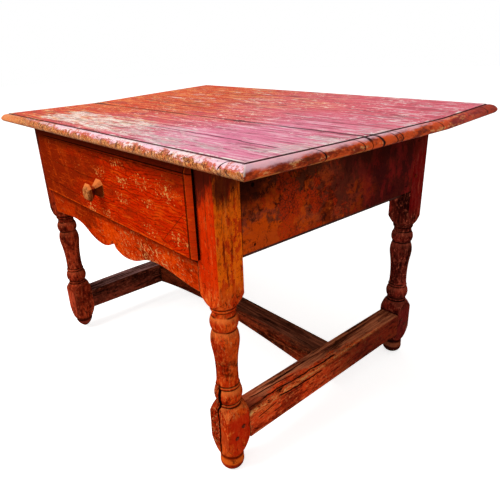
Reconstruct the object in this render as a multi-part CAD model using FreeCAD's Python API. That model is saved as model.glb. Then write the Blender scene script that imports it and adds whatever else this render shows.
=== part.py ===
import FreeCAD, Part
import math
import os

Vector = FreeCAD.Vector

# Tavern table: a pinned frame with four turned legs and an H stretcher, a two-board
# top with a thumbnail-moulded edge, a scalloped skirt and one lipped drawer.
# Millimetres. X runs along the drawer front, the drawer opens towards -Y, Z is up
# from the floor, and the origin lies on the floor under the middle of the top.

# frame
frame_length = 840.0
frame_depth = 682.0
frame_height = 677.0
post_size = 60.0
post_arris = 2.5
rail_thickness = 25.0
apron_width = 177.0
top_rail_width = 22.0
drawer_opening_height = 154.0

# turned legs, floor to top: foot, square block, ring, ball, ring, baluster, torus, block
foot_base_radius = 17.0
foot_radius = 25.3
foot_neck_radius = 24.2
foot_swell_height = 23.0
foot_swell_bulge = 4.0
foot_neck_bulge = 0.8
foot_height = 38.0
block_foot_height = 50.0
block_length = 54.0
block_shoulder_height = 30.0
block_shoulder_bulge = 2.0
ring_radius = 25.3
ring_height = 7.0
ball_radius = 29.3
ball_height = 36.0
neck_radius = 23.6
baluster_foot_radius = 23.4
baluster_waist_radius = 22.5
baluster_radius = 29.0
baluster_shoulder_radius = 26.8
baluster_waist_height = 24.0
baluster_swell_rise = 12.0
baluster_crown_height = 26.0
torus_radius = 28.3
torus_height = 31.0
collar_radius = 25.4
collar_height = 19.0
collar_hollow_height = 11.4
collar_hollow_depth = 0.6
collar_fillet = 1.0
collar_bulge = 0.9
upper_shoulder_height = 28.0
upper_shoulder_bulge = 1.4
turning_spare = 0.6

# the front left foot is worn short and blunt
worn_foot_base = 10.0
worn_foot_base_radius = 8.0
worn_foot_top = 42.0
worn_foot_top_radius = 26.5
worn_foot_bulge = 3.5

# mortise and tenon joints
tenon_setback = 12.0
tenon_thickness = 10.0
tenon_wall = 2.0
tenon_shoulder = 9.0
tenon_haunch = 25.0
mortise_relief = 1.0
dovetail_length = 26.0
dovetail_root = 14.0
dovetail_tip = 20.0
dovetail_depth = 16.0

# scalloped skirt, drops measured down from the edge that carries the drawer
skirt_end_drop = 75.0
skirt_end_step = 1.0
skirt_arch_drop = 65.0
skirt_lobe_drop = 97.0
skirt_step_drop = 86.0
skirt_notch_drop = 71.0
skirt_arch_place = 216.0
skirt_lobe_place = 62.0
skirt_notch_half = 13.0
skirt_notch_bulge = 2.0

# stretchers, their middle set a little below the middle of the foot block
stretcher_set = 9.5
stretcher_height = 61.0
stretcher_width = 56.0
stretcher_end_arris = 5.0
stretcher_wear = 17.0
left_stretcher_wear = 6.0
left_stretcher_bow = 6.5
stretcher_tenon_thickness = 12.0
stretcher_tenon_height = 44.0
stretcher_tenon_length = 46.0
medial_offset = 13.0
medial_width = 66.0
medial_top_step = 4.0
medial_arch_place = -110.0
medial_arch_rise = 28.5
medial_arch_left_bulge = 4.0
medial_arch_right_bulge = 6.0
medial_wear = 8.0
medial_tenon_thickness = 13.0
medial_tenon_width = 38.0
medial_tenon_length = 38.0

# top: two boards that have cupped and twisted; each lift is measured at one end of the top
top_length = 1110.0
top_depth = 776.0
top_thickness = 22.0
board_joint_place = -98.0
board_joint_gap = 2.5
board_bend_place = 170.0
joint_lift_left = 6.0
bend_lift_left = 22.0
bend_lift_right = 0.6
rear_lift_left = 34.0
rear_lift_right = 12.0
top_mould_width = 19.0
top_quirk_depth = 1.8
top_nose_height = 9.0
top_under_width = 7.0

# drawer
drawer_rear_gap = 26.0
drawer_travel_gap = 1.0
side_clearance = 1.5
front_lip_thickness = 10.0
front_lip_side = 12.0
front_lip_top = 9.0
front_lip_bottom = 6.0
front_body_thickness = 12.0
front_mould_width = 17.0
front_quirk_depth = 1.2
front_edge_height = 5.0
drawer_wall = 12.0
drawer_top_clearance = 4.7
drawer_back_drop = 9.0
running_clearance = 0.3
tail_lap = 9.0
tail_count = 3
tail_share = 0.6
tail_flare = 2.2
bottom_thickness = 10.0
bottom_edge_thickness = 5.5
bottom_bevel_width = 30.0
bottom_height = 4.0
groove_depth = 5.0
groove_clearance = 0.3

# knob, carved with eight flats; its head has sagged below its base
knob_rise = 62.0
knob_base_half = 21.0
knob_waist_half = 9.5
knob_head_half = 20.0
knob_end_half = 12.0
knob_waist_reach = 15.0
knob_head_reach = 27.0
knob_reach = 35.5
knob_chamfer = 0.55
knob_sag = 6.0
knob_tenon_radius = 6.5

# runners, guides and kickers
runner_width = 60.0
runner_thickness = 20.0
guide_height = 25.0
kicker_width = 60.0

# pegs and nails
peg_width = 8.0
peg_proud = 1.0
peg_grip = 14.0
peg_setback = 16.0
stretcher_peg_near = 19.0
stretcher_peg_far = 37.0
stretcher_peg_rise = 11.0
top_peg_width = 9.0
top_peg_depth = 32.0
top_peg_proud = 0.3
nail_shank = 3.6
nail_head = 9.0
nail_head_height = 1.6
nail_grip = 16.0
kicker_nail_grip = 19.0
guide_nail_setback = 27.0
kicker_nail_setback = 81.0
drawer_nail_share = 0.7

# how far cutting shapes run past what they cut
cut_spare = 12.0
board_spare = 4.0

# places that follow from the sizes above
post_face_x = frame_length / 2
post_face_y = frame_depth / 2
post_inner_x = post_face_x - post_size
post_inner_y = post_face_y - post_size
post_x = post_face_x - post_size / 2
post_y = post_face_y - post_size / 2
rail_inner_x = post_face_x - rail_thickness
rail_inner_y = post_face_y - rail_thickness
diagonal = math.sqrt(0.5)
tenon_length = post_size - tenon_setback - tenon_thickness - tenon_wall
apron_bottom = frame_height - apron_width
apron_tenon_bottom = apron_bottom + tenon_shoulder
apron_tenon_top = frame_height - tenon_haunch
apron_tenon_middle = (apron_tenon_bottom + apron_tenon_top) / 2
top_rail_bottom = frame_height - top_rail_width
drawer_floor = top_rail_bottom - drawer_opening_height
block_bottom = foot_height + block_foot_height
block_top = block_bottom + block_length
upper_block_bottom = drawer_floor - skirt_end_drop + skirt_end_step
stretcher_middle = (block_bottom + block_top) / 2 - stretcher_set
stretcher_bottom = stretcher_middle - stretcher_height / 2
stretcher_top = stretcher_middle + stretcher_height / 2
stretcher_inner_x = post_face_x - stretcher_width
corner_radius = post_size * diagonal + turning_spare
top_half = top_length / 2
top_front = -top_depth / 2
top_rear = top_depth / 2
runner_inner_x = rail_inner_x - runner_width
front_face_y = -post_face_y - drawer_travel_gap - front_lip_thickness
front_back_y = front_face_y + front_lip_thickness + front_body_thickness
drawer_rear = rail_inner_y - drawer_rear_gap
side_outer_x = post_inner_x - side_clearance
side_inner_x = side_outer_x - drawer_wall
side_bottom = drawer_floor + running_clearance
side_top = top_rail_bottom - drawer_top_clearance
knob_height = drawer_floor + knob_rise
bottom_under = side_bottom + bottom_height
bottom_upper = bottom_under + bottom_thickness


class Outline:
    # a chain of lines and arcs in the XZ plane, each edge starting where the last ended
    def __init__(self, x, z):
        self.start = Vector(x, 0, z)
        self.here = self.start
        self.edges = []

    def line(self, x, z):
        end = Vector(x, 0, z)
        self.edges.append(Part.makeLine(self.here, end))
        self.here = end

    # an arc that bows out to the right of the way it travels
    def arc(self, x, z, bulge):
        end = Vector(x, 0, z)
        chord = end - self.here
        normal = Vector(chord.z, 0, -chord.x).normalize()
        middle = (self.here + end) * 0.5 + normal * bulge
        self.edges.append(Part.Arc(self.here, middle, end).toShape())
        self.here = end

    # an arc that leaves or arrives level, on the side given by the sign
    def level_arc(self, x, z, side):
        chord = Vector(x, 0, z) - self.here
        slope = abs(math.atan2(chord.z, abs(chord.x)))
        self.arc(x, z, side * chord.Length / 2 * math.tan(slope / 2))

    # an S curve that is level at both ends
    def cyma(self, x, z, side):
        start = self.here
        self.level_arc((start.x + x) / 2, (start.z + z) / 2, side)
        self.level_arc(x, z, -side)

    def spline(self, points):
        nodes = [self.here] + [Vector(x, 0, z) for x, z in points]
        curve = Part.BSplineCurve()
        curve.interpolate(nodes)
        self.edges.append(curve.toShape())
        self.here = nodes[-1]

    def face(self):
        self.line(self.start.x, self.start.z)
        return Part.Face(Part.Wire(self.edges))


def box(x0, y0, z0, x1, y1, z1):
    low = Vector(min(x0, x1), min(y0, y1), min(z0, z1))
    return Part.makeBox(abs(x1 - x0), abs(y1 - y0), abs(z1 - z0), low)


def prism(points, path):
    return Part.Face(Part.makePolygon(points + [points[0]])).extrude(path)


def group(solids):
    return Part.makeCompound(solids)


# an octagonal bar, driven in from its base along one axis
def octagon_bar(base, path, width):
    along = Vector(path).normalize()
    across = Vector(0, 0, 1) if abs(along.z) < 0.5 else Vector(1, 0, 0)
    beside = along.cross(across)
    radius = width / 2 / math.cos(math.pi / 8)
    ring = []
    for step in range(8):
        turn = math.pi / 8 + step * math.pi / 4
        ring.append(base + across * (radius * math.cos(turn)) + beside * (radius * math.sin(turn)))
    return prism(ring, path)


# a square-shanked nail with a four-faced rose head, its head standing on the surface
def rose_nail(surface, inward, length):
    turn = FreeCAD.Rotation(Vector(0, 0, -1), inward)
    half = nail_shank / 2
    shank = box(-half, -half, -length, half, half, 0)
    low = nail_head / 2
    high = nail_head / 6
    rims = []
    for reach, level in ((low, 0), (high, nail_head_height)):
        corners = [Vector(x * reach, y * reach, level) for x, y in ((-1, -1), (1, -1), (1, 1), (-1, 1))]
        rims.append(Part.makePolygon(corners + [corners[0]]))
    nail = shank.fuse(Part.makeLoft(rims, True, True)).removeSplitter()
    nail.Placement = FreeCAD.Placement(surface, turn)
    return nail


# the leg's outline as the lathe leaves it, radius against height
def turned_outline():
    ring_bottom = block_top + block_shoulder_height
    ball_bottom = ring_bottom + ring_height
    ball_top = ball_bottom + ball_height
    baluster_bottom = ball_top + ring_height
    collar_top = upper_block_bottom - upper_shoulder_height
    torus_top = collar_top - collar_height
    baluster_top = torus_top - torus_height
    crown = baluster_top - baluster_crown_height
    ring_bulge = ring_radius - neck_radius
    outline = Outline(0, 0)
    outline.line(foot_base_radius, 0)
    outline.arc(foot_radius, foot_swell_height, foot_swell_bulge)
    outline.arc(foot_neck_radius, foot_height, foot_neck_bulge)
    outline.arc(corner_radius, block_bottom, block_shoulder_bulge)
    outline.line(corner_radius, block_top)
    outline.arc(ring_radius, ring_bottom, block_shoulder_bulge)
    outline.line(neck_radius, ring_bottom)
    outline.arc(neck_radius, ball_bottom, ring_bulge)
    outline.arc(neck_radius, ball_top, ball_radius - neck_radius)
    outline.arc(baluster_foot_radius, baluster_bottom, ring_bulge)
    outline.spline([
        (baluster_waist_radius, baluster_bottom + baluster_waist_height),
        ((baluster_waist_radius + baluster_radius) / 2,
         (baluster_bottom + baluster_top) / 2 + baluster_swell_rise),
        (baluster_radius, crown),
        (baluster_shoulder_radius, baluster_top - baluster_crown_height / 3),
        (neck_radius, baluster_top),
    ])
    outline.arc(neck_radius, torus_top, torus_radius - neck_radius)
    outline.arc(neck_radius - collar_hollow_depth, torus_top + collar_hollow_height, -collar_hollow_depth)
    outline.line(collar_radius - collar_fillet, torus_top + collar_hollow_height)
    outline.arc(collar_radius, collar_top, collar_bulge)
    outline.arc(corner_radius, upper_block_bottom, upper_shoulder_bulge)
    outline.line(corner_radius, frame_height)
    outline.line(0, frame_height)
    return outline.face()


def leg_blank():
    half = post_size / 2
    square = box(-half, -half, 0, half, half, frame_height)
    uprights = [edge for edge in square.Edges if edge.BoundBox.ZLength > post_size]
    square = square.makeFillet(post_arris, uprights)
    turned = turned_outline().revolve(Vector(0, 0, 0), Vector(0, 0, 1), 360)
    return square.common(turned)


# tenon of a board that lies along Y and joins the post on the side of end_y
def end_tenon(side_x, end_y, relief):
    outer = side_x * (post_face_x - tenon_setback)
    inner = outer - side_x * tenon_thickness
    tip = end_y * (post_inner_y + tenon_length + relief)
    return box(inner, end_y * post_inner_y, apron_tenon_bottom, outer, tip, apron_tenon_top)


# tenon of a board that lies along X, between two heights
def cross_tenon(end_x, side_y, low, high, relief):
    outer = side_y * (post_face_y - tenon_setback)
    inner = outer - side_y * tenon_thickness
    tip = end_x * (post_inner_x + tenon_length + relief)
    return box(end_x * post_inner_x, inner, low, tip, outer, high)


def end_apron(side):
    apron = box(side * rail_inner_x, -post_inner_y, apron_bottom,
                side * post_face_x, post_inner_y, frame_height)
    for end in (-1, 1):
        apron = apron.fuse(end_tenon(side, end, 0))
    return apron.removeSplitter()


def back_apron():
    apron = box(-post_inner_x, rail_inner_y, apron_bottom, post_inner_x, post_face_y, frame_height)
    for end in (-1, 1):
        apron = apron.fuse(back_tenon(end, 0))
    return apron.removeSplitter()


def back_tenon(end, relief):
    return cross_tenon(end, 1, apron_tenon_bottom, apron_tenon_top, relief)


def skirt_tenon(end, relief):
    return cross_tenon(end, -1, upper_block_bottom + tenon_shoulder, drawer_floor - tenon_shoulder, relief)


# the board under the drawer, sawn below to two arches, two lobes and a middle cusp
def skirt_rail():
    outline = Outline(post_inner_x, drawer_floor)
    outline.line(post_inner_x, drawer_floor - skirt_end_drop)
    outline.cyma(skirt_arch_place, drawer_floor - skirt_arch_drop, -1)
    outline.cyma(skirt_lobe_place, drawer_floor - skirt_lobe_drop, 1)
    outline.level_arc(skirt_notch_half, drawer_floor - skirt_step_drop, -1)
    outline.arc(0, drawer_floor - skirt_notch_drop, skirt_notch_bulge)
    outline.line(0, drawer_floor)
    half = outline.face().extrude(Vector(0, rail_thickness, 0))
    half.translate(Vector(0, -post_face_y, 0))
    rail = half.fuse(half.mirror(Vector(0, 0, 0), Vector(1, 0, 0)))
    for end in (-1, 1):
        rail = rail.fuse(skirt_tenon(end, 0))
    return rail.removeSplitter()


# lapped dovetail at each end of the rail over the drawer, let into the post's top
def rail_dovetail(end):
    middle = -post_face_y + rail_thickness / 2
    base = frame_height - dovetail_depth
    root = end * post_inner_x
    tip = end * (post_inner_x + dovetail_length)
    corners = [
        Vector(root, middle - dovetail_root / 2, base),
        Vector(tip, middle - dovetail_tip / 2, base),
        Vector(tip, middle + dovetail_tip / 2, base),
        Vector(root, middle + dovetail_root / 2, base),
    ]
    return prism(corners, Vector(0, 0, dovetail_depth))


def drawer_top_rail():
    rail = box(-post_inner_x, -post_face_y, top_rail_bottom,
               post_inner_x, -post_face_y + rail_thickness, frame_height)
    for end in (-1, 1):
        rail = rail.fuse(rail_dovetail(end))
    return rail.removeSplitter()


def stretcher_tenon(side_x, end_y, relief):
    middle = side_x * (post_face_x - stretcher_width / 2)
    half = stretcher_tenon_thickness / 2
    low = stretcher_middle - stretcher_tenon_height / 2
    return box(middle - half, end_y * post_inner_y, low,
               middle + half, end_y * (post_inner_y + stretcher_tenon_length + relief),
               low + stretcher_tenon_height)


# cross-section of a side stretcher, its upper outer arris worn round by feet
def stretcher_section(side, y, arris, top):
    outer = side * post_face_x
    inner = side * stretcher_inner_x
    start = Vector(outer - side * arris, y, top)
    middle = Vector(outer - side * arris * (1 - diagonal), y, top - arris * (1 - diagonal))
    end = Vector(outer, y, top - arris)
    corners = [end, Vector(outer, y, stretcher_bottom), Vector(inner, y, stretcher_bottom),
               Vector(inner, y, top), start]
    edges = [Part.makeLine(a, b) for a, b in zip(corners, corners[1:])]
    edges.append(Part.Arc(start, middle, end).toShape())
    return Part.Wire(edges)


# top of a side stretcher half way along; the left one is bowed up
def stretcher_crown(side):
    return stretcher_top + (left_stretcher_bow if side < 0 else 0)


def side_stretcher(side):
    wear = left_stretcher_wear if side < 0 else stretcher_wear
    sections = [
        stretcher_section(side, -post_inner_y, stretcher_end_arris, stretcher_top),
        stretcher_section(side, 0, wear, stretcher_crown(side)),
        stretcher_section(side, post_inner_y, stretcher_end_arris, stretcher_top),
    ]
    bar = Part.makeLoft(sections, True, False)
    for end in (-1, 1):
        bar = bar.fuse(stretcher_tenon(side, end, 0))
    return bar.cut(medial_tenon(side, mortise_relief))


def medial_tenon(end, relief):
    half = medial_tenon_width / 2
    low = stretcher_middle - medial_tenon_thickness / 2
    return box(end * stretcher_inner_x, medial_offset - half, low,
               end * (stretcher_inner_x + medial_tenon_length + relief),
               medial_offset + half, low + medial_tenon_thickness)


# the long stretcher, arched on its underside and worn along its upper front arris
def medial_stretcher():
    top = stretcher_top - medial_top_step
    front = medial_offset - medial_width / 2
    outline = Outline(-stretcher_inner_x, stretcher_bottom)
    outline.arc(medial_arch_place, stretcher_bottom + medial_arch_rise, -medial_arch_left_bulge)
    outline.arc(stretcher_inner_x, stretcher_bottom, -medial_arch_right_bulge)
    outline.line(stretcher_inner_x, top)
    outline.line(-stretcher_inner_x, top)
    bar = outline.face().extrude(Vector(0, medial_width, 0))
    bar.translate(Vector(0, front, 0))
    wear = prism([
        Vector(-stretcher_inner_x, front, top - medial_wear),
        Vector(-stretcher_inner_x, front + medial_wear, top),
        Vector(-stretcher_inner_x, front - medial_wear, top + medial_wear),
    ], Vector(2 * stretcher_inner_x, 0, 0))
    bar = bar.cut(wear)
    for end in (-1, 1):
        bar = bar.fuse(medial_tenon(end, 0))
    return bar.removeSplitter()


# what has gone from round a worn foot
def worn_foot_waste():
    outline = Outline(0, -cut_spare)
    outline.line(post_size, -cut_spare)
    outline.line(post_size, worn_foot_top)
    outline.line(worn_foot_top_radius, worn_foot_top)
    outline.arc(worn_foot_base_radius, worn_foot_base, -worn_foot_bulge)
    outline.line(0, worn_foot_base)
    return outline.face().revolve(Vector(0, 0, 0), Vector(0, 0, 1), 360)


def leg(blank, side_x, side_y):
    post = blank.copy()
    if side_x < 0 and side_y < 0:
        post = post.cut(worn_foot_waste())
    post.translate(Vector(side_x * post_x, side_y * post_y, 0))
    post = post.cut(end_tenon(side_x, side_y, mortise_relief))
    post = post.cut(stretcher_tenon(side_x, side_y, mortise_relief))
    if side_y < 0:
        post = post.cut(skirt_tenon(side_x, mortise_relief))
        return post.cut(rail_dovetail(side_x))
    return post.cut(back_tenon(side_x, mortise_relief))


# the waste outside a thumbnail moulding: a square quirk, a round thumb and an under-round
def moulding_waste(place, path, width, quirk, edge_height, thickness, under):
    crown = thickness - quirk - edge_height
    edges = [
        Part.makeLine(place(width, thickness + cut_spare), place(width, thickness - quirk)),
        Part.Arc(place(width, thickness - quirk),
                 place(width * (1 - diagonal), edge_height + crown * diagonal),
                 place(0, edge_height)).toShape(),
    ]
    last = place(0, edge_height)
    if under > 0:
        foot = place(under, 0)
        bend = place(under * (1 - diagonal), edge_height * (1 - diagonal))
        edges.append(Part.Arc(last, bend, foot).toShape())
        last = foot
    corners = [last, place(under, -cut_spare), place(-cut_spare, -cut_spare),
               place(-cut_spare, thickness + cut_spare), place(width, thickness + cut_spare)]
    edges += [Part.makeLine(a, b) for a, b in zip(corners, corners[1:])]
    return Part.Face(Part.Wire(edges)).extrude(path)


def between(start, end, share):
    return start + (end - start) * share


# how far the boards stand off the frame: nothing along the front edge, nothing over the
# right-hand posts at the joint between the boards, and most at the left end of the rear
def board_lift(x, y):
    along = (x + top_half) / top_length
    joint = joint_lift_left * (post_face_x - x) / (post_face_x + top_half)
    bend = between(bend_lift_left, bend_lift_right, along)
    if y < board_joint_place:
        return between(0, joint, (y - top_front) / (board_joint_place - top_front))
    if y < board_bend_place:
        return between(joint, bend, (y - board_joint_place) / (board_bend_place - board_joint_place))
    rear = between(rear_lift_left, rear_lift_right, along)
    return between(bend, rear, (y - board_bend_place) / (top_rear - board_bend_place))


# lengthwise section of a top board: moulded at both ends and lifted to the warp
def board_section(y):
    crown = top_thickness - top_quirk_depth - top_nose_height

    def at(side, inset, height):
        x = side * (top_half - inset)
        return Vector(x, y, frame_height + board_lift(x, y) + height)

    edges = [Part.makeLine(at(-1, top_under_width, 0), at(1, top_under_width, 0))]
    rounds = []
    for side in (1, -1):
        under = Part.Arc(at(side, top_under_width, 0),
                         at(side, top_under_width * (1 - diagonal), top_nose_height * (1 - diagonal)),
                         at(side, 0, top_nose_height))
        thumb = Part.Arc(at(side, 0, top_nose_height),
                         at(side, top_mould_width * (1 - diagonal), top_nose_height + crown * diagonal),
                         at(side, top_mould_width, top_thickness - top_quirk_depth))
        quirk = Part.makeLine(at(side, top_mould_width, top_thickness - top_quirk_depth),
                              at(side, top_mould_width, top_thickness))
        rounds.append([under.toShape(), thumb.toShape(), quirk])
    edges += rounds[0]
    edges.append(Part.makeLine(at(1, top_mould_width, top_thickness), at(-1, top_mould_width, top_thickness)))
    edges += list(reversed(rounds[1]))
    return Part.Wire(edges)


# waste along a long edge of the top, following the edge as it climbs
def long_edge_waste(edge_y, outward):
    near = edge_y - outward * top_mould_width
    start = -top_half - cut_spare
    rise = board_lift(-start, edge_y) - board_lift(start, edge_y)
    slope = (board_lift(0, edge_y) - board_lift(0, near)) / top_mould_width
    base = frame_height + board_lift(start, edge_y)

    def place(inset, height):
        return Vector(start, edge_y - outward * inset, base + height - slope * inset)

    path = Vector(-2 * start, 0, rise)
    return moulding_waste(place, path, top_mould_width, top_quirk_depth,
                          top_nose_height, top_thickness, top_under_width)


# a stretch of board from one place across the top to another
def board_stretch(start_y, end_y):
    return Part.makeLoft([board_section(start_y), board_section(end_y)], True, True)


def top_board_front():
    board = board_stretch(board_joint_place - board_joint_gap / 2, top_front - board_spare)
    return board.cut(long_edge_waste(top_front, -1))


# the wide board bends where it has cupped most
def top_board_rear():
    inner = board_stretch(board_joint_place + board_joint_gap / 2, board_bend_place)
    outer = board_stretch(board_bend_place, top_rear + board_spare)
    return inner.fuse(outer.cut(long_edge_waste(top_rear, 1)))


# pegs that pin the top down: one through each board into each end apron, two at the back
def top_pegs():
    apron_x = post_face_x - rail_thickness / 2
    back_y = post_face_y - rail_thickness / 2
    places = []
    for side in (-1, 1):
        places.append((side * apron_x, (board_joint_place - post_inner_y) / 2))
        places.append((side * apron_x, (board_joint_place + post_inner_y) / 2))
        places.append((side * post_inner_x / 2, back_y))
    pegs = []
    for x, y in places:
        base = Vector(x, y, frame_height - top_peg_depth)
        reach = top_peg_depth + board_lift(x, y) + top_thickness + top_peg_proud
        pegs.append(octagon_bar(base, Vector(0, 0, reach), top_peg_width))
    return group(pegs)


# pegs through the post's end face into the end apron's tenon, two to a joint
def apron_pegs():
    pegs = []
    reach = -(tenon_setback + tenon_thickness + peg_grip + peg_proud)
    step = apron_width / 4
    for side in (-1, 1):
        for end in (-1, 1):
            for level in (-step, step):
                base = Vector(side * (post_face_x + peg_proud), end * (post_inner_y + peg_setback),
                              apron_tenon_middle + level)
                pegs.append(octagon_bar(base, Vector(side * reach, 0, 0), peg_width))
    return group(pegs)


# pegs through the front and back faces of the posts, into the skirt and the back apron
def rail_pegs():
    pegs = []
    reach = -(tenon_setback + tenon_thickness + peg_grip + peg_proud)
    front_levels = (upper_block_bottom + tenon_shoulder * 2, drawer_floor - tenon_shoulder * 2)
    back_levels = (apron_tenon_middle - apron_width / 4, apron_tenon_middle + apron_width / 4)
    for side, levels in ((-1, front_levels), (1, back_levels)):
        for end in (-1, 1):
            for level in levels:
                base = Vector(end * (post_inner_x + peg_setback), side * (post_face_y + peg_proud), level)
                pegs.append(octagon_bar(base, Vector(0, side * reach, 0), peg_width))
    return group(pegs)


# two pegs set slantwise through each foot block, one down through each medial tenon
def stretcher_pegs():
    pegs = []
    reach = -(stretcher_width / 2 + stretcher_tenon_thickness / 2 + peg_grip + peg_proud)
    for side in (-1, 1):
        for end in (-1, 1):
            for along, turn in ((stretcher_peg_near, 1), (stretcher_peg_far, -1)):
                base = Vector(side * (post_face_x + peg_proud), end * (post_inner_y + along),
                              stretcher_middle + turn * stretcher_peg_rise)
                pegs.append(octagon_bar(base, Vector(side * reach, 0, 0), peg_width))
        head = stretcher_crown(side) + peg_proud
        base = Vector(side * (stretcher_inner_x + medial_tenon_length / 2), medial_offset, head)
        drop = head - stretcher_middle + medial_tenon_thickness / 2 + peg_grip
        pegs.append(octagon_bar(base, Vector(0, 0, -drop), peg_width))
    return group(pegs)


# runner notched round the posts, level with the skirt's upper edge
def drawer_runner(side):
    low = drawer_floor - runner_thickness
    inner = side * runner_inner_x
    narrow = box(inner, -rail_inner_y, low, side * post_inner_x, rail_inner_y, drawer_floor)
    wide = box(inner, -post_inner_y, low, side * rail_inner_x, post_inner_y, drawer_floor)
    return narrow.fuse(wide).removeSplitter()


def drawer_guide(side):
    return box(side * post_inner_x, -post_inner_y, drawer_floor,
               side * rail_inner_x, post_inner_y, drawer_floor + guide_height)


def drawer_kicker(side):
    return box(side * (rail_inner_x - kicker_width), -post_inner_y, top_rail_bottom,
               side * rail_inner_x, post_inner_y, frame_height)


# nails through the runner's edge into the posts
def runner_nails():
    nails = []
    length = post_inner_x - runner_inner_x + nail_grip
    for side in (-1, 1):
        for end in (-1, 1):
            surface = Vector(side * runner_inner_x, end * (post_inner_y + tenon_length / 2),
                             drawer_floor - runner_thickness / 2)
            nails.append(rose_nail(surface, Vector(side, 0, 0), length))
    return group(nails)


# nails through the end aprons into the guides, and through the kickers into the aprons
def guide_nails():
    nails = []
    length = rail_thickness + nail_grip
    kicker_length = kicker_width + kicker_nail_grip
    for side in (-1, 1):
        for end in (-1, 0, 1):
            y = end * (post_inner_y - guide_nail_setback)
            surface = Vector(side * post_face_x, y, drawer_floor + guide_height / 2)
            nails.append(rose_nail(surface, Vector(-side, 0, 0), length))
        for end in (-1, 1):
            y = end * (post_inner_y - kicker_nail_setback)
            surface = Vector(side * (rail_inner_x - kicker_width), y, frame_height - top_rail_width / 2)
            nails.append(rose_nail(surface, Vector(side, 0, 0), kicker_length))
    return group(nails)


# dovetails cut on the ends of a drawer side, from root to tip along Y
def side_tails(side, root, tip, low, high):
    pitch = (high - low) / tail_count
    half = pitch * tail_share / 2
    tails = []
    for index in range(tail_count):
        middle = low + pitch * (index + 0.5)
        corners = [
            Vector(side * side_inner_x, root, middle - half),
            Vector(side * side_inner_x, tip, middle - half - tail_flare),
            Vector(side * side_inner_x, tip, middle + half + tail_flare),
            Vector(side * side_inner_x, root, middle + half),
        ]
        tails.append(prism(corners, Vector(side * drawer_wall, 0, 0)))
    return tails


def front_tails(side):
    return side_tails(side, front_back_y, front_back_y - tail_lap, bottom_upper, side_top)


def back_tails(side):
    return side_tails(side, drawer_rear - drawer_wall, drawer_rear, bottom_upper, side_top - drawer_back_drop)


def drawer_side(side):
    board = box(side * side_inner_x, front_back_y, side_bottom,
                side * side_outer_x, drawer_rear - drawer_wall, side_top)
    board = board.fuse(front_tails(side) + back_tails(side))
    groove = box(side * (side_inner_x - 1), front_back_y - tail_lap, bottom_edge_low(),
                 side * (side_inner_x + groove_depth), drawer_rear, bottom_upper + groove_clearance)
    return board.cut(groove).removeSplitter()


# underside of the groove that holds the bevelled edge of the drawer bottom
def bottom_edge_low():
    fall = (bottom_thickness - bottom_edge_thickness) * groove_depth / bottom_bevel_width
    return bottom_upper - bottom_edge_thickness - fall - groove_clearance


def knob_tenon():
    reach = front_lip_thickness + front_body_thickness
    return Part.makeCylinder(knob_tenon_radius, reach, Vector(0, front_face_y, knob_height),
                             Vector(0, 1, 0))


# lipped front with a thumbnail moulding on its top and ends, plain below
def drawer_front():
    half = post_inner_x + front_lip_side
    low = drawer_floor - front_lip_bottom
    high = top_rail_bottom + front_lip_top
    lip_back = front_face_y + front_lip_thickness
    slab = box(-half, front_face_y, low, half, lip_back, high)

    def mould(place, path):
        return moulding_waste(place, path, front_mould_width, front_quirk_depth,
                              front_edge_height, front_lip_thickness, 0)

    for side in (-1, 1):
        slab = slab.cut(mould(
            lambda inset, height: Vector(side * (half - inset), lip_back - height, low - 1),
            Vector(0, 0, high - low + 2)))
    slab = slab.cut(mould(
        lambda inset, height: Vector(-half - 1, lip_back - height, high - inset),
        Vector(2 * half + 2, 0, 0)))
    body = box(-side_outer_x, lip_back, side_bottom,
               side_outer_x, front_back_y, top_rail_bottom - side_clearance)
    front = slab.fuse(body).removeSplitter()
    groove = box(-side_inner_x - groove_depth, front_back_y - groove_depth, bottom_edge_low(),
                 side_inner_x + groove_depth, front_back_y + 1, bottom_upper + groove_clearance)
    front = front.cut(groove)
    for side in (-1, 1):
        front = front.cut(front_tails(side))
    return front.cut(knob_tenon())


def drawer_back():
    board = box(-side_outer_x, drawer_rear - drawer_wall, bottom_upper,
                side_outer_x, drawer_rear, side_top - drawer_back_drop)
    for side in (-1, 1):
        board = board.cut(back_tails(side))
    return board


# bottom board with its underside bevelled to fit the grooves, sawn across at the middle
def drawer_bottom(rear_half):
    reach = side_inner_x + groove_depth - groove_clearance
    front = front_back_y - groove_depth + groove_clearance
    middle = (front + drawer_rear) / 2
    near = middle if rear_half else front
    far = drawer_rear if rear_half else middle
    board = box(-reach, near, bottom_under, reach, far, bottom_upper)
    edge = bottom_upper - bottom_edge_thickness
    for side in (-1, 1):
        bevel = [Vector(side * (reach + 1), near, bottom_under - 1), Vector(side * (reach + 1), near, edge),
                 Vector(side * reach, near, edge),
                 Vector(side * (reach - bottom_bevel_width), near, bottom_under),
                 Vector(side * (reach - bottom_bevel_width), near, bottom_under - 1)]
        board = board.cut(prism(bevel, Vector(0, far - near, 0)))
    if rear_half:
        return board
    bevel = [Vector(-reach, front - 1, bottom_under - 1), Vector(-reach, front - 1, edge),
             Vector(-reach, front, edge),
             Vector(-reach, front + bottom_bevel_width, bottom_under),
             Vector(-reach, front + bottom_bevel_width, bottom_under - 1)]
    return board.cut(prism(bevel, Vector(2 * reach, 0, 0)))


# nails up through the drawer bottom into its back
def drawer_nails():
    nails = []
    for step in (-1, 0, 1):
        surface = Vector(step * side_inner_x * drawer_nail_share, drawer_rear - drawer_wall / 2, bottom_under)
        nails.append(rose_nail(surface, Vector(0, 0, 1), bottom_thickness + nail_grip))
    return group(nails)


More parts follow.
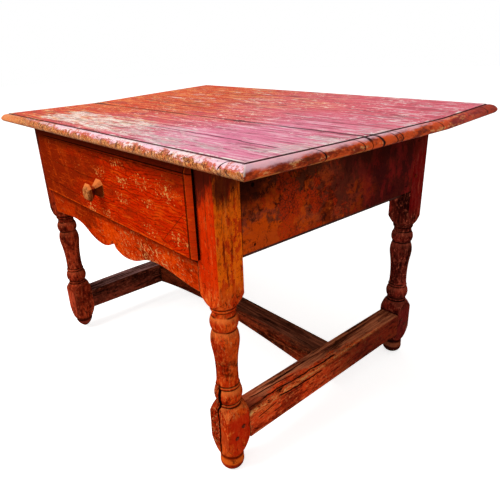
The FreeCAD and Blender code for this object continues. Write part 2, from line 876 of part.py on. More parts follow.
# square with its corners cut off, standing at a reach in front of the drawer
def knob_section(reach, half):
    y = front_face_y - reach
    middle = knob_height - knob_sag * reach / knob_reach
    flat = half * knob_chamfer
    corners = []
    for x, z in ((flat, half), (half, flat), (half, -flat), (flat, -half),
                 (-flat, -half), (-half, -flat), (-half, flat), (-flat, half)):
        corners.append(Vector(x, y, middle + z))
    return Part.makePolygon(corners + [corners[0]])


def drawer_knob():
    stages = ((0, knob_base_half), (knob_waist_reach, knob_waist_half),
              (knob_head_reach, knob_head_half), (knob_reach, knob_end_half))
    rings = [knob_section(reach, half) for reach, half in stages]
    head = Part.makeLoft(rings, True, True)
    return head.fuse(knob_tenon())


def build_parts():
    blank = leg_blank()
    parts = {}
    for side_x, hand in ((-1, "left"), (1, "right")):
        for side_y, place in ((-1, "front"), (1, "rear")):
            parts["leg_" + place + "_" + hand] = leg(blank, side_x, side_y)
        parts["end_apron_" + hand] = end_apron(side_x)
        parts["side_stretcher_" + hand] = side_stretcher(side_x)
        parts["drawer_runner_" + hand] = drawer_runner(side_x)
        parts["drawer_guide_" + hand] = drawer_guide(side_x)
        parts["drawer_kicker_" + hand] = drawer_kicker(side_x)
        parts["drawer_side_" + hand] = drawer_side(side_x)
    parts["back_apron"] = back_apron()
    parts["scalloped_skirt"] = skirt_rail()
    parts["drawer_top_rail"] = drawer_top_rail()
    parts["medial_stretcher"] = medial_stretcher()
    parts["top_board_front"] = top_board_front()
    parts["top_board_rear"] = top_board_rear()
    parts["drawer_front"] = drawer_front()
    parts["drawer_back"] = drawer_back()
    parts["drawer_bottom_front"] = drawer_bottom(False)
    parts["drawer_bottom_rear"] = drawer_bottom(True)
    parts["drawer_knob"] = drawer_knob()
    return parts


# every peg and nail, with the pieces that it is driven through
def build_fasteners():
    left_right = ("left", "right")
    legs = ["leg_" + place + "_" + hand for place in ("front", "rear") for hand in left_right]
    aprons = ["end_apron_" + hand for hand in left_right]
    stretchers = ["side_stretcher_" + hand for hand in left_right]
    runners = ["drawer_runner_" + hand for hand in left_right]
    guides = ["drawer_guide_" + hand for hand in left_right]
    kickers = ["drawer_kicker_" + hand for hand in left_right]
    return {
        "top_pegs": (top_pegs(), ["top_board_front", "top_board_rear", "back_apron"] + aprons),
        "apron_pegs": (apron_pegs(), legs + aprons),
        "rail_pegs": (rail_pegs(), legs + ["back_apron", "scalloped_skirt"]),
        "stretcher_pegs": (stretcher_pegs(), legs + stretchers + ["medial_stretcher"]),
        "runner_nails": (runner_nails(), legs + runners),
        "guide_nails": (guide_nails(), aprons + guides + kickers),
        "drawer_nails": (drawer_nails(), ["drawer_bottom_rear", "drawer_back"]),
    }


def main():
    os.makedirs("parts", exist_ok=True)
    parts = build_parts()
    for name, (fasteners, pierced) in build_fasteners().items():
        for piece in pierced:
            parts[piece] = parts[piece].cut(fasteners)
        parts[name] = fasteners
    for name, shape in parts.items():
        solids = shape.Solids
        final = solids[0] if len(solids) == 1 else group(solids)
        state = "valid" if final.isValid() else "NOT VALID"
        print(name, len(solids), state, round(final.Volume / 1000.0, 1), "cm3")
        final.exportStep("parts/" + name + ".step")


main()
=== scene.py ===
import math
import bmesh
import bpy
from mathutils import Matrix, Vector

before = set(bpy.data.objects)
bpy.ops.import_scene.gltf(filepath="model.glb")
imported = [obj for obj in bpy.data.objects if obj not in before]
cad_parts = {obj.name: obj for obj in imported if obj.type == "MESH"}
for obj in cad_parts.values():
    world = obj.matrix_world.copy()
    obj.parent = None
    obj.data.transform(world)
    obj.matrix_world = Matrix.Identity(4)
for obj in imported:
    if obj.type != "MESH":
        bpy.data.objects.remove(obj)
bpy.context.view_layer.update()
print("frame loaded,", len(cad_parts), "pieces")


def tone(red, green, blue):
    # a colour as it is read off a chart, 0 to 255
    def linear(value):
        share = value / 255
        return share / 12.92 if share < 0.04045 else ((share + 0.055) / 1.055) ** 2.4
    return (linear(red), linear(green), linear(blue), 1.0)


white = tone(255, 255, 255)


class Wire:
    # a value on its way through a node tree
    def __init__(self, graph, socket):
        self.graph = graph
        self.socket = socket

    def __add__(self, other):
        return self.graph.maths("ADD", self, other)

    def __radd__(self, other):
        return self.graph.maths("ADD", other, self)

    def __sub__(self, other):
        return self.graph.maths("SUBTRACT", self, other)

    def __rsub__(self, other):
        return self.graph.maths("SUBTRACT", other, self)

    def __mul__(self, other):
        return self.graph.maths("MULTIPLY", self, other)

    def __rmul__(self, other):
        return self.graph.maths("MULTIPLY", other, self)

    def __abs__(self):
        return self.graph.maths("ABSOLUTE", self)


class Graph:
    # the node tree of a world or a material
    def __init__(self, owner):
        owner.use_nodes = True
        self.tree = owner.node_tree

    def feed(self, socket, value):
        if isinstance(value, Wire):
            self.tree.links.new(value.socket, socket)
        else:
            socket.default_value = value

    def node(self, kind, settings=None, sockets=None, output=0):
        made = self.tree.nodes.new(kind)
        for name, value in (settings or {}).items():
            setattr(made, name, value)
        for name, value in (sockets or {}).items():
            self.feed(made.inputs[name], value)
        return Wire(self, made.outputs[output])

    def maths(self, operation, *values):
        return self.node("ShaderNodeMath", {"operation": operation}, dict(enumerate(values)))

    def least(self, first, second):
        return self.maths("MINIMUM", first, second)

    def most(self, first, second):
        return self.maths("MAXIMUM", first, second)


class Finish(Graph):
    # one material; its patterns are measured in metres on the piece itself
    noiseShift = (3.7, 1.9, 5.3)
    cellShift = (2.3, 4.1, 1.7)
    probes = {"samples": 6}  # for the nodes that feel for corners and hollows

    def __init__(self, name, look):
        self.material = bpy.data.materials.new(name)
        super().__init__(self.material)
        self.inputs = self.tree.nodes["Principled BSDF"].inputs
        self.feed(self.inputs["Specular IOR Level"], look["gloss"])
        self.feed(self.inputs["Roughness"], look["rough"])
        self.count = 0  # of the patterns drawn so far
        self.place = self.node("ShaderNodeTexCoord", output="Object")
        self.x, self.y, self.z = self.split(self.place)
        self.normal = self.node("ShaderNodeNewGeometry", output="Normal")
        self.nx, self.ny, self.nz = self.split(self.normal)

    def split(self, vector):
        made = self.node("ShaderNodeSeparateXYZ", sockets={0: vector})
        return [Wire(self, socket) for socket in made.socket.node.outputs]

    def step(self, value, low, high):
        # eases from 0 at low to 1 at high, which may be the smaller of the two
        eased = {"interpolation_type": "SMOOTHSTEP"}
        return self.node("ShaderNodeMapRange", eased, {0: value, 1: low, 2: high})

    def within(self, ramps):
        # 1 where every ramp is full; each gives an axis, where it begins and where it is full
        share = 1.0
        for axis, begins, full in ramps:
            share = self.step(getattr(self, axis), begins, full) * share
        return share

    def blend(self, first, second, share):
        return self.node("ShaderNodeMix", {"data_type": "RGBA"}, {0: share, 6: first, 7: second}, output=2)

    def spread(self, shift, scale, lean=0.0):
        # each pattern is read from a place of its own; scale is in features to the metre,
        # one number or one for each of x, y and z, and lean tilts them about y
        self.count += 1
        start = tuple(self.count * part for part in shift)
        sizes = scale if isinstance(scale, tuple) else (scale, scale, scale)
        place = self.place
        if lean:
            place = self.node("ShaderNodeMapping", sockets={0: place, 2: (0.0, lean, 0.0)})
        return self.node("ShaderNodeMapping", sockets={0: place, 1: start, 3: sizes})

    def noise(self, scale, detail=4.0, rough=0.55, twist=0.0, lean=0.0):
        place = self.spread(self.noiseShift, scale, lean)
        sockets = {"Vector": place, "Scale": 1.0, "Detail": detail, "Roughness": rough, "Distortion": twist}
        return self.node("ShaderNodeTexNoise", sockets=sockets)

    def cells(self, scale):
        # 0 along the cracks of dried paint, more inside its flakes
        place = self.spread(self.cellShift, scale)
        edges = {"feature": "DISTANCE_TO_EDGE"}
        return self.node("ShaderNodeTexVoronoi", edges, {"Vector": place, "Scale": 1.0})

    def crack(self, along, across, start, end, width, wander, turns):
        # a split between two points, each (along, across), that wanders and thins out at its tips
        reach = end[0] - start[0]
        slope = (end[1] - start[1]) / reach
        swing = (self.noise(turns, 4, 0.6) - 0.5) * (2 * wander)
        line = (along - start[0]) * slope + start[1] + swing
        tip = min(abs(reach) * 0.3, 0.04) * math.copysign(1, reach)
        ends = self.step(along, start[0], start[0] + tip) * self.step(along, end[0], end[0] - tip)
        return self.step(abs(across - line), width, width * 0.35) * self.step(ends, 0.0, 0.25)

    def cracks(self, along, across, runs):
        # each run is a crack's start, end, width, wander and turns
        deepest = 0.0
        for run in runs:
            deepest = self.most(deepest, self.crack(along, across, *run))
        return deepest

    def spot(self, first, second, centre, radius, soft=0.4):
        dx = first - centre[0]
        dy = second - centre[1]
        return self.step(dx * dx + dy * dy, radius * radius, radius * radius * soft)

    def crevice(self, reach):
        # 1 deep in a joint, 0 on an open face
        return 1.0 - self.node("ShaderNodeAmbientOcclusion", self.probes, {"Distance": reach}, output="AO")

    def soften(self, radius):
        return self.node("ShaderNodeBevel", self.probes, {"Radius": radius})

    def arris(self, radius):
        # 1 on a sharp edge, 0 on a flat face
        sides = {0: self.soften(radius), 1: self.normal}
        level = self.node("ShaderNodeVectorMath", {"operation": "DOT_PRODUCT"}, sides, output="Value")
        return self.step(level, 0.99, 0.8)

    def dress(self, look, colour, height):
        # relief is what a height of 1 stands for, and rounding how wide the corners look
        surface = {"Height": height, "Distance": look["relief"], "Normal": self.soften(look["rounding"])}
        self.feed(self.inputs["Base Color"], colour)
        self.feed(self.inputs["Normal"], self.node("ShaderNodeBump", sockets=surface))
        return self.material


def assign(material, *names):
    for name in names:
        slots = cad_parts[name].data.materials
        slots.clear()
        slots.append(material)


def stretched(axis, along, across):
    return tuple(along if letter == axis else across for letter in "xyz")


camera = {
    "place": (1.00799, -0.77409, 0.83416),
    "yaw": 49.68,
    "pitch": -22.03,
    "roll": -2.28,
    "lens": 33.405,
    "sensor": 36,
    "shift": (0.0094, -0.0141),
    "clip": 0.02,
}


def setCamera(look):
    yaw, pitch, roll = (math.radians(look[part]) for part in ("yaw", "pitch", "roll"))
    data = bpy.data.cameras.new("view")
    data.lens = look["lens"]
    data.sensor_width = look["sensor"]
    data.shift_x, data.shift_y = look["shift"]
    data.clip_start = look["clip"]
    holder = bpy.data.objects.new("view", data)
    turn = Matrix.Rotation(yaw, 4, "Z") @ Matrix.Rotation(math.pi / 2 + pitch, 4, "X")
    holder.matrix_world = Matrix.Translation(Vector(look["place"])) @ turn @ Matrix.Rotation(roll, 4, "Z")
    bpy.context.scene.collection.objects.link(holder)
    bpy.context.scene.camera = holder


setCamera(camera)

studio = {
    "sky": 0.57,  # its strength where it lights the table
    "key": {"place": (-0.7, -2.6, 3.3), "aim": (0.1, 0.0, 0.45), "size": 1.6, "power": 96},
    "floor": {"colour": tone(236, 234, 231), "rough": 0.9, "gloss": 0.1, "lift": 0.7, "reach": 20},
}


def setLamp(name, look):
    data = bpy.data.lights.new(name, "AREA")
    data.size = look["size"]
    data.energy = look["power"]
    lamp = bpy.data.objects.new(name, data)
    lamp.location = look["place"]
    lamp.rotation_euler = (Vector(look["aim"]) - Vector(look["place"])).to_track_quat("-Z", "Y").to_euler()
    bpy.context.scene.collection.objects.link(lamp)


def setSky(strength):
    # white wherever it is seen, straight or in a reflection
    world = bpy.data.worlds.new("studio")
    sky = Graph(world)
    seen = sky.node("ShaderNodeLightPath", output="Is Camera Ray")
    for ray in ("Is Glossy Ray", "Is Transmission Ray"):
        seen = sky.most(seen, sky.node("ShaderNodeLightPath", output=ray))
    background = sky.tree.nodes["Background"].inputs
    sky.feed(background["Color"], white)
    sky.feed(background["Strength"], strength + seen * (1.0 - strength))
    bpy.context.scene.world = world


def layFloor(look):
    shape = bmesh.new()
    bmesh.ops.create_grid(shape, x_segments=1, y_segments=1, size=look["reach"])
    mesh = bpy.data.meshes.new("floor")
    shape.to_mesh(mesh)
    shape.free()
    floor = bpy.data.objects.new("floor", mesh)
    bpy.context.scene.collection.objects.link(floor)
    f = Finish("pale_floor", look)
    f.feed(f.inputs["Base Color"], look["colour"])
    f.feed(f.inputs["Emission Color"], white)
    seen = f.node("ShaderNodeLightPath", output="Is Camera Ray")
    f.feed(f.inputs["Emission Strength"], seen * look["lift"])
    mesh.materials.append(f.material)


setSky(studio["sky"])
setLamp("key", studio["key"])
layFloor(studio["floor"])
print("camera, lamp and floor set")

top = {
    "orange": tone(216, 62, 6), "coral": tone(206, 60, 28), "rose": tone(213, 80, 86),
    "pink": tone(222, 124, 153), "crimson": tone(222, 86, 102), "deep": tone(98, 22, 20),
    "chalk": tone(250, 238, 226), "ash": tone(164, 150, 132), "straw": tone(244, 182, 112),
    "blush": tone(222, 146, 150), "lilac": tone(238, 194, 206), "mauve": tone(240, 204, 222),
    "tan": tone(186, 104, 44), "rust": tone(198, 74, 26), "brown": tone(80, 32, 10),
    "endDark": tone(128, 38, 14), "endLight": tone(222, 84, 32), "quirk": tone(50, 8, 6),
    "gap": tone(16, 6, 5), "underDark": tone(52, 28, 18), "under": tone(92, 50, 30),
    "halfLength": 0.555,
    "halfDepth": 0.388,
    "mould": 0.019,
    "joint": -0.098,
    "broken": 0.207,  # how far along the joint a piece has broken out
    "rough": 0.50, "gloss": 0.045, "relief": 0.0014, "rounding": 0.0010,
    # each scuffed place: how much, and the ramps that bound it
    "scuffs": (
        (1.0, (("y", -0.362, -0.335), ("y", -0.180, -0.26), ("x", -0.45, -0.28), ("x", 0.45, -0.05))),
        (0.75, (("y", -0.366, -0.345), ("y", -0.285, -0.325), ("x", 0.16, 0.29), ("x", 0.50, 0.37))),
        (0.7, (("x", 0.43, 0.525), ("y", 0.20, -0.18), ("y", -0.34, -0.29))),
        (0.2, (("y", 0.02, 0.12), ("y", 0.34, 0.22), ("x", 0.35, -0.10))),
    ),
    # splits along the boards: start and end (x, y), width, wander and turns
    "splits": (
        ((0.08, -0.252), (0.50, -0.262), 0.0022, 0.012, 9),
        ((0.50, 0.139), (0.27, 0.186), 0.0019, 0.006, 12),
        ((-0.50, 0.055), (-0.10, 0.062), 0.0012, 0.010, 8),
        ((-0.16, -0.190), (0.16, -0.182), 0.0012, 0.010, 9),
        ((-0.30, 0.262), (0.20, 0.270), 0.0012, 0.012, 8),
    ),
    # where the end moulding has opened, how each opening runs, and the wide one at the joint
    "endSplits": (-0.227, -0.126, -0.030, -0.012, 0.134, 0.332),
    "endSplit": ((0.530, -0.012), (0.560, 0.010), 0.0018, 0.005, 60),
    "wideSplit": ((0.520, -0.080), (0.562, -0.062), 0.0044, 0.006, 50),
    # the one in the front moulding, as (y, x)
    "frontSplit": ((-0.366, 0.509), (-0.389, 0.498), 0.0018, 0.003, 60),
}


def boardPaint(f, look, drift, fibre, coarse):
    # the ground drifts from orange at the left rear to pink at the near right corner
    x, y = f.x, f.y
    colour = f.blend(look["orange"], look["coral"], f.step(drift, -0.60, -0.24))
    colour = f.blend(colour, look["rose"], f.step(drift, -0.28, 0.08))
    colour = f.blend(colour, look["pink"], f.step(drift, 0.10, 0.62))
    colour = f.blend(colour, look["crimson"], f.step(x * 0.8 + y, 0.0, 0.6) * 0.85)
    # brush marks and raised grain run the length of the boards
    rubbedTone = f.blend(look["straw"], look["lilac"], f.step(drift, -0.1, 0.45))
    colour = f.blend(colour, look["deep"], f.step(fibre, 0.47, 0.375) * 0.78)
    colour = f.blend(colour, rubbedTone, f.step(fibre, 0.53, 0.60) * 0.85)
    colour = f.blend(colour, look["deep"], f.step(coarse, 0.42, 0.34) * 0.5)
    # scuffs down to the chalky primer
    band = 0.0
    for share, ramps in look["scuffs"]:
        band = band + f.within(ramps) * share
    wisps = f.step(f.noise((16, 220, 220), 8, 0.78), 0.43, 0.53)
    bare = f.step(f.noise((10, 60, 60), 8, 0.76) + band * 0.19, 0.58, 0.65) * (0.1 + wisps * 0.9)
    warmed = f.step(f.noise((9, 36, 36), 5, 0.7) + f.step(x, -0.28, -0.44) * 0.14, 0.50, 0.62)
    pale = f.blend(look["chalk"], look["straw"], warmed * 0.75)
    dusk = f.step(f.noise((14, 90, 90), 7, 0.76) + f.step(x, 0.0, 0.25) * 0.08, 0.51, 0.58)
    pale = f.blend(pale, look["ash"], dusk * 0.85)
    pale = f.blend(pale, look["mauve"], f.step(drift, 0.15, 0.5) * 0.4)
    colour = f.blend(colour, pale, bare * 0.95)
    grey = f.step(f.noise((26, 150, 150), 7, 0.78), 0.44, 0.38) * f.step(band, 0.2, 0.7)
    colour = f.blend(colour, look["ash"], grey * 0.6)
    # pale chips and flakes, each kept to its own patches, and dark stains
    paleTone = f.blend(rubbedTone, look["chalk"], f.step(drift, -0.5, 0.1) * 0.7)
    chip = f.step(f.noise((44, 100, 100), 6, 0.74), 0.575, 0.61)
    chip = chip * f.step(f.noise((5, 11, 11), 4), 0.40, 0.54)
    colour = f.blend(colour, paleTone, chip * 0.95)
    flake = f.step(f.noise((13, 54, 54), 8, 0.76), 0.575, 0.615)
    flake = flake * f.step(f.noise((4, 9, 9), 4, 0.6), 0.44, 0.56)
    colour = f.blend(colour, paleTone, flake * 0.8)
    stain = f.step(f.noise((7, 26, 26), 7, 0.72), 0.56, 0.66)
    return f.blend(colour, look["deep"], stain * 0.6), bare


def sideMould(f, look, lie, stroke):
    # rosy and chalky on top, rusty where it turns over, feathery tan below, and browned underneath by painted
    # shade
    x = f.x
    patch = f.noise((22, 40, 50), 6, 0.72)
    left = f.step(x, 0.05, -0.45)
    level = lie - 0.10 + (stroke - 0.5) * 1.3 + (patch - 0.5) * 1.9 - left * 0.4
    side = f.blend(look["blush"], look["lilac"], f.step(f.noise((16, 60, 60), 6, 0.68), 0.36, 0.50))
    rosy = f.step(x, -0.2, 0.3) * 0.05
    side = f.blend(side, look["chalk"], f.step(f.noise((14, 90, 90), 6, 0.72) + rosy, 0.47, 0.62) * 0.6)
    side = f.blend(side, look["endLight"], f.step(f.noise((60, 110, 110), 6, 0.76), 0.43, 0.37) * 0.5)
    rusty = f.step(f.noise((24, 60, 60), 6, 0.76), 0.45, 0.52)
    side = f.blend(side, look["rust"], f.step(level, 0.84, 0.68) * rusty * 0.85)
    hair = f.noise((340, 150, 170), 6, 0.78, 1.2, 0.6)
    feather = f.blend(look["tan"], look["straw"], f.step(hair, 0.52, 0.60))
    feather = f.blend(feather, look["rust"], f.step(f.noise((50, 90, 90), 6, 0.76), 0.53, 0.58) * 0.7)
    feather = f.blend(feather, look["brown"], f.step(hair + (stroke - 0.5) * 0.7, 0.495, 0.44) * 0.95)
    side = f.blend(side, feather, f.step(level, 0.58, 0.42) * 0.95)
    side = f.blend(side, feather, f.step(patch, 0.49, 0.57) * left * 0.8)
    tip = f.blend(look["endLight"], look["straw"], 0.35)
    side = f.blend(side, tip, f.step(x, -0.30, -0.50) * f.step(hair, 0.56, 0.48) * 0.8)
    side = f.blend(side, look["brown"], f.step(f.noise(170, 5, 0.72), 0.43, 0.35) * 0.7)
    return f.blend(side, look["brown"], f.step(lie + (stroke - 0.5) * 0.8, -0.25, -0.75) * 0.55)


def endMould(f, look, lie):
    # rusty and smoky, rubbed lilac on top near the front corner, darker towards the rear, with painted shade
    # on its underside where it is not worn
    y = f.y
    end = f.blend(look["endDark"], look["endLight"], f.step(f.noise((40, 16, 40), 7, 0.72), 0.42, 0.58))
    end = f.blend(end, look["brown"], f.step(f.noise((90, 24, 90), 7, 0.74), 0.46, 0.38) * 0.75)
    end = f.blend(end, look["crimson"], f.step(y, 0.05, 0.3) * 0.25)
    end = f.blend(end, look["endDark"], f.step(y, 0.20, 0.36) * 0.5)
    dry = f.noise((60, 24, 60), 7, 0.76) + f.step(y, 0.0, 0.35) * 0.05
    end = f.blend(end, look["straw"], f.step(dry, 0.575, 0.63) * f.step(y, 0.32, 0.20) * 0.5)
    raised = lie + f.step(y, -0.2, -0.36) * 0.22 - f.step(y, 0.0, 0.30) * 0.40
    end = f.blend(end, look["lilac"], f.step(raised + (dry - 0.5) * 0.8, 0.69, 1.02) * 0.75)
    worn = f.step(f.noise((60, 22, 60), 6, 0.74) + f.step(y, 0.05, -0.33) * 0.12, 0.52, 0.62)
    end = f.blend(end, look["tan"], f.step(lie, -0.35, -0.75) * worn * 0.9)
    return f.blend(end, look["deep"], f.step(lie, -0.5, -0.8) * (1.0 - worn) * 0.8)


def topSplits(f, look):
    (fromX, fromY), (toX, toY), *shape = look["endSplit"]
    ends = [((fromX, at + fromY), (toX, at + toY), *shape) for at in look["endSplits"]]
    splits = f.cracks(f.x, f.y, [*look["splits"], *ends, look["wideSplit"]])
    return f.most(splits, f.crack(f.y, f.x, *look["frontSplit"]))


def topJoint(f, look):
    # the gap between the boards, wider at the left end and where a piece has broken out
    wide = f.step(f.x, -0.38, -0.50) * 0.0035 + f.step(abs(f.x - look["broken"]), 0.016, 0.008) * 0.0045
    across = abs(f.y - look["joint"] - (f.noise((11, 0.1, 0.1), 5, 0.7) - 0.5) * 0.008) - wide
    opened = f.most(f.step(f.noise((9, 0.1, 0.1), 4, 0.6), 0.42, 0.52), f.step(wide, 0.0, 0.002))
    return f.step(across, 0.0056, 0.0034) * (0.5 + opened * 0.5)


def paintTop(look):
    f = Finish("worn_rose_paint", look)
    x, y = f.x, f.y
    drift = x * 1.25 - y * 0.55 + (f.noise((2.2, 5, 5), 3) - 0.5) * 0.7
    fibre = f.noise((8, 130, 130), 8, 0.74)
    coarse = f.noise((3.5, 44, 44), 7, 0.68)
    colour, bare = boardPaint(f, look, drift, fibre, coarse)
    # the moulding: its ends meet its long sides at a mitre
    toEnd = look["halfLength"] - abs(x)
    toSide = look["halfDepth"] - abs(y)
    fromEdge = f.least(toEnd, toSide)
    mitre = toSide - toEnd
    rim = f.step(fromEdge, look["mould"] + 0.0004, look["mould"] - 0.0006)
    lie = f.split(f.soften(0.0025))[2]
    stroke = f.noise((120, 40, 46), 7, 0.74, 0.6, 0.5)
    side = sideMould(f, look, lie, stroke)
    end = endMould(f, look, lie)
    outer = look["halfLength"] - look["mould"]
    isEnd = f.step(abs(x), outer - 0.001, outer + 0.001) * f.step(mitre, -0.001, 0.001)
    colour = f.blend(colour, f.blend(side, end, isEnd), rim)
    # a painted highlight on the mitre's arris at the near front corner
    corner = f.step(abs(mitre - 0.001), 0.0026, 0.0008) * f.step(x, 0.535, 0.545) * f.step(lie, 0.1, 0.5)
    colour = f.blend(colour, look["chalk"], corner * f.step(y, -0.3, -0.37) * rim * 0.42)
    # the arris inside the quirk is rubbed pale, and the quirk itself is dark with dirt
    rubbed = f.noise((26, 26, 26), 6, 0.72) + f.step(x, 0.2, 0.52) * f.step(y, -0.1, -0.33) * 0.12
    lip = f.step(abs(fromEdge - look["mould"] - 0.0034), 0.0044, 0.0018) * f.step(rubbed, 0.52, 0.60)
    lip = lip * (1.0 - f.step(x, 0.515, 0.528) * f.step(y, -0.16, -0.24) * 0.65)
    colour = f.blend(colour, look["chalk"], lip * f.step(f.nz, 0.8, 0.95) * f.step(x, -0.2, 0.3) * 0.9)
    quirk = f.step(abs(fromEdge - look["mould"]), 0.0019, 0.0009) * f.step(f.nz, -0.2, 0.1)
    colour = f.blend(colour, look["quirk"], quirk * 0.95)
    splits = topSplits(f, look)
    joint = topJoint(f, look)
    colour = f.blend(colour, look["gap"], f.most(splits, joint * f.step(f.nz, 0.5, 0.8) * 0.9))
    # painted shade in the crevices and hollows of the top
    colour = f.blend(colour, look["gap"], f.step(f.crevice(0.012), 0.2, 0.7) * 0.85)
    plank = f.blend(look["underDark"], look["under"], f.step(f.noise((5, 90, 90), 7, 0.66), 0.34, 0.62))
    colour = f.blend(colour, plank, f.step(f.nz, -0.85, -0.95))
    f.feed(f.inputs["Roughness"], look["rough"] + f.step(fibre, 0.35, 0.65) * 0.22 + bare * 0.15)
    height = fibre * 0.5 + coarse * 0.35 - splits * 1.6 - bare * 0.15 - rim * stroke * 0.6
    return f.dress(look, colour, height)


assign(paintTop(top), "top_board_front", "top_board_rear", "top_pegs")
print("top painted")

drawer = {
    "dark": tone(130, 30, 4), "base": tone(164, 32, 2), "bright": tone(192, 34, 0),
    "orange": tone(224, 78, 12), "line": tone(66, 8, 1), "tan": tone(224, 158, 84),
    "olive": tone(150, 96, 34), "shade": tone(84, 22, 4), "lip": tone(170, 44, 8),
    "lipTop": tone(92, 24, 8), "gap": tone(12, 3, 1), "woodDark": tone(96, 58, 32),
    "wood": tone(150, 98, 56),
    "rough": 0.55, "gloss": 0.0, "relief": 0.0011, "rounding": 0.0014,
    # x and z of the line cut inside the lip, and of the lip's outer edges, rubbed and lit by a painted
    # highlight
    "scribe": (0.3535, 0.6525),
    "rubbed": (0.3563, 0.4975),
    "shadedSidesAt": (("y", -0.3500, -0.3480),),
    # across, up and size of each cluster of bare flecks, and how the clusters are drawn out
    "flecks": ((0.012, 0.603, 0.026), (0.105, 0.634, 0.022), (0.122, 0.600, 0.022), (0.200, 0.612, 0.028),
               (0.290, 0.607, 0.034), (0.225, 0.570, 0.020), (0.217, 0.516, 0.020), (0.325, 0.524, 0.026),
               (-0.060, 0.503, 0.026), (0.030, 0.510, 0.022), (0.110, 0.560, 0.024)),
    "fleckShape": (0.55, 1.2),
    # start and end (x, z), width, wander and turns
    "scratch": ((0.262, 0.505), (0.352, 0.583), 0.0013, 0.002, 30),
    "splits": (
        ((-0.30, 0.590), (-0.02, 0.580), 0.0012, 0.006, 14),
        ((-0.34, 0.532), (-0.12, 0.520), 0.0012, 0.006, 14),
        ((-0.10, 0.638), (0.20, 0.632), 0.0010, 0.006, 14),
    ),
}


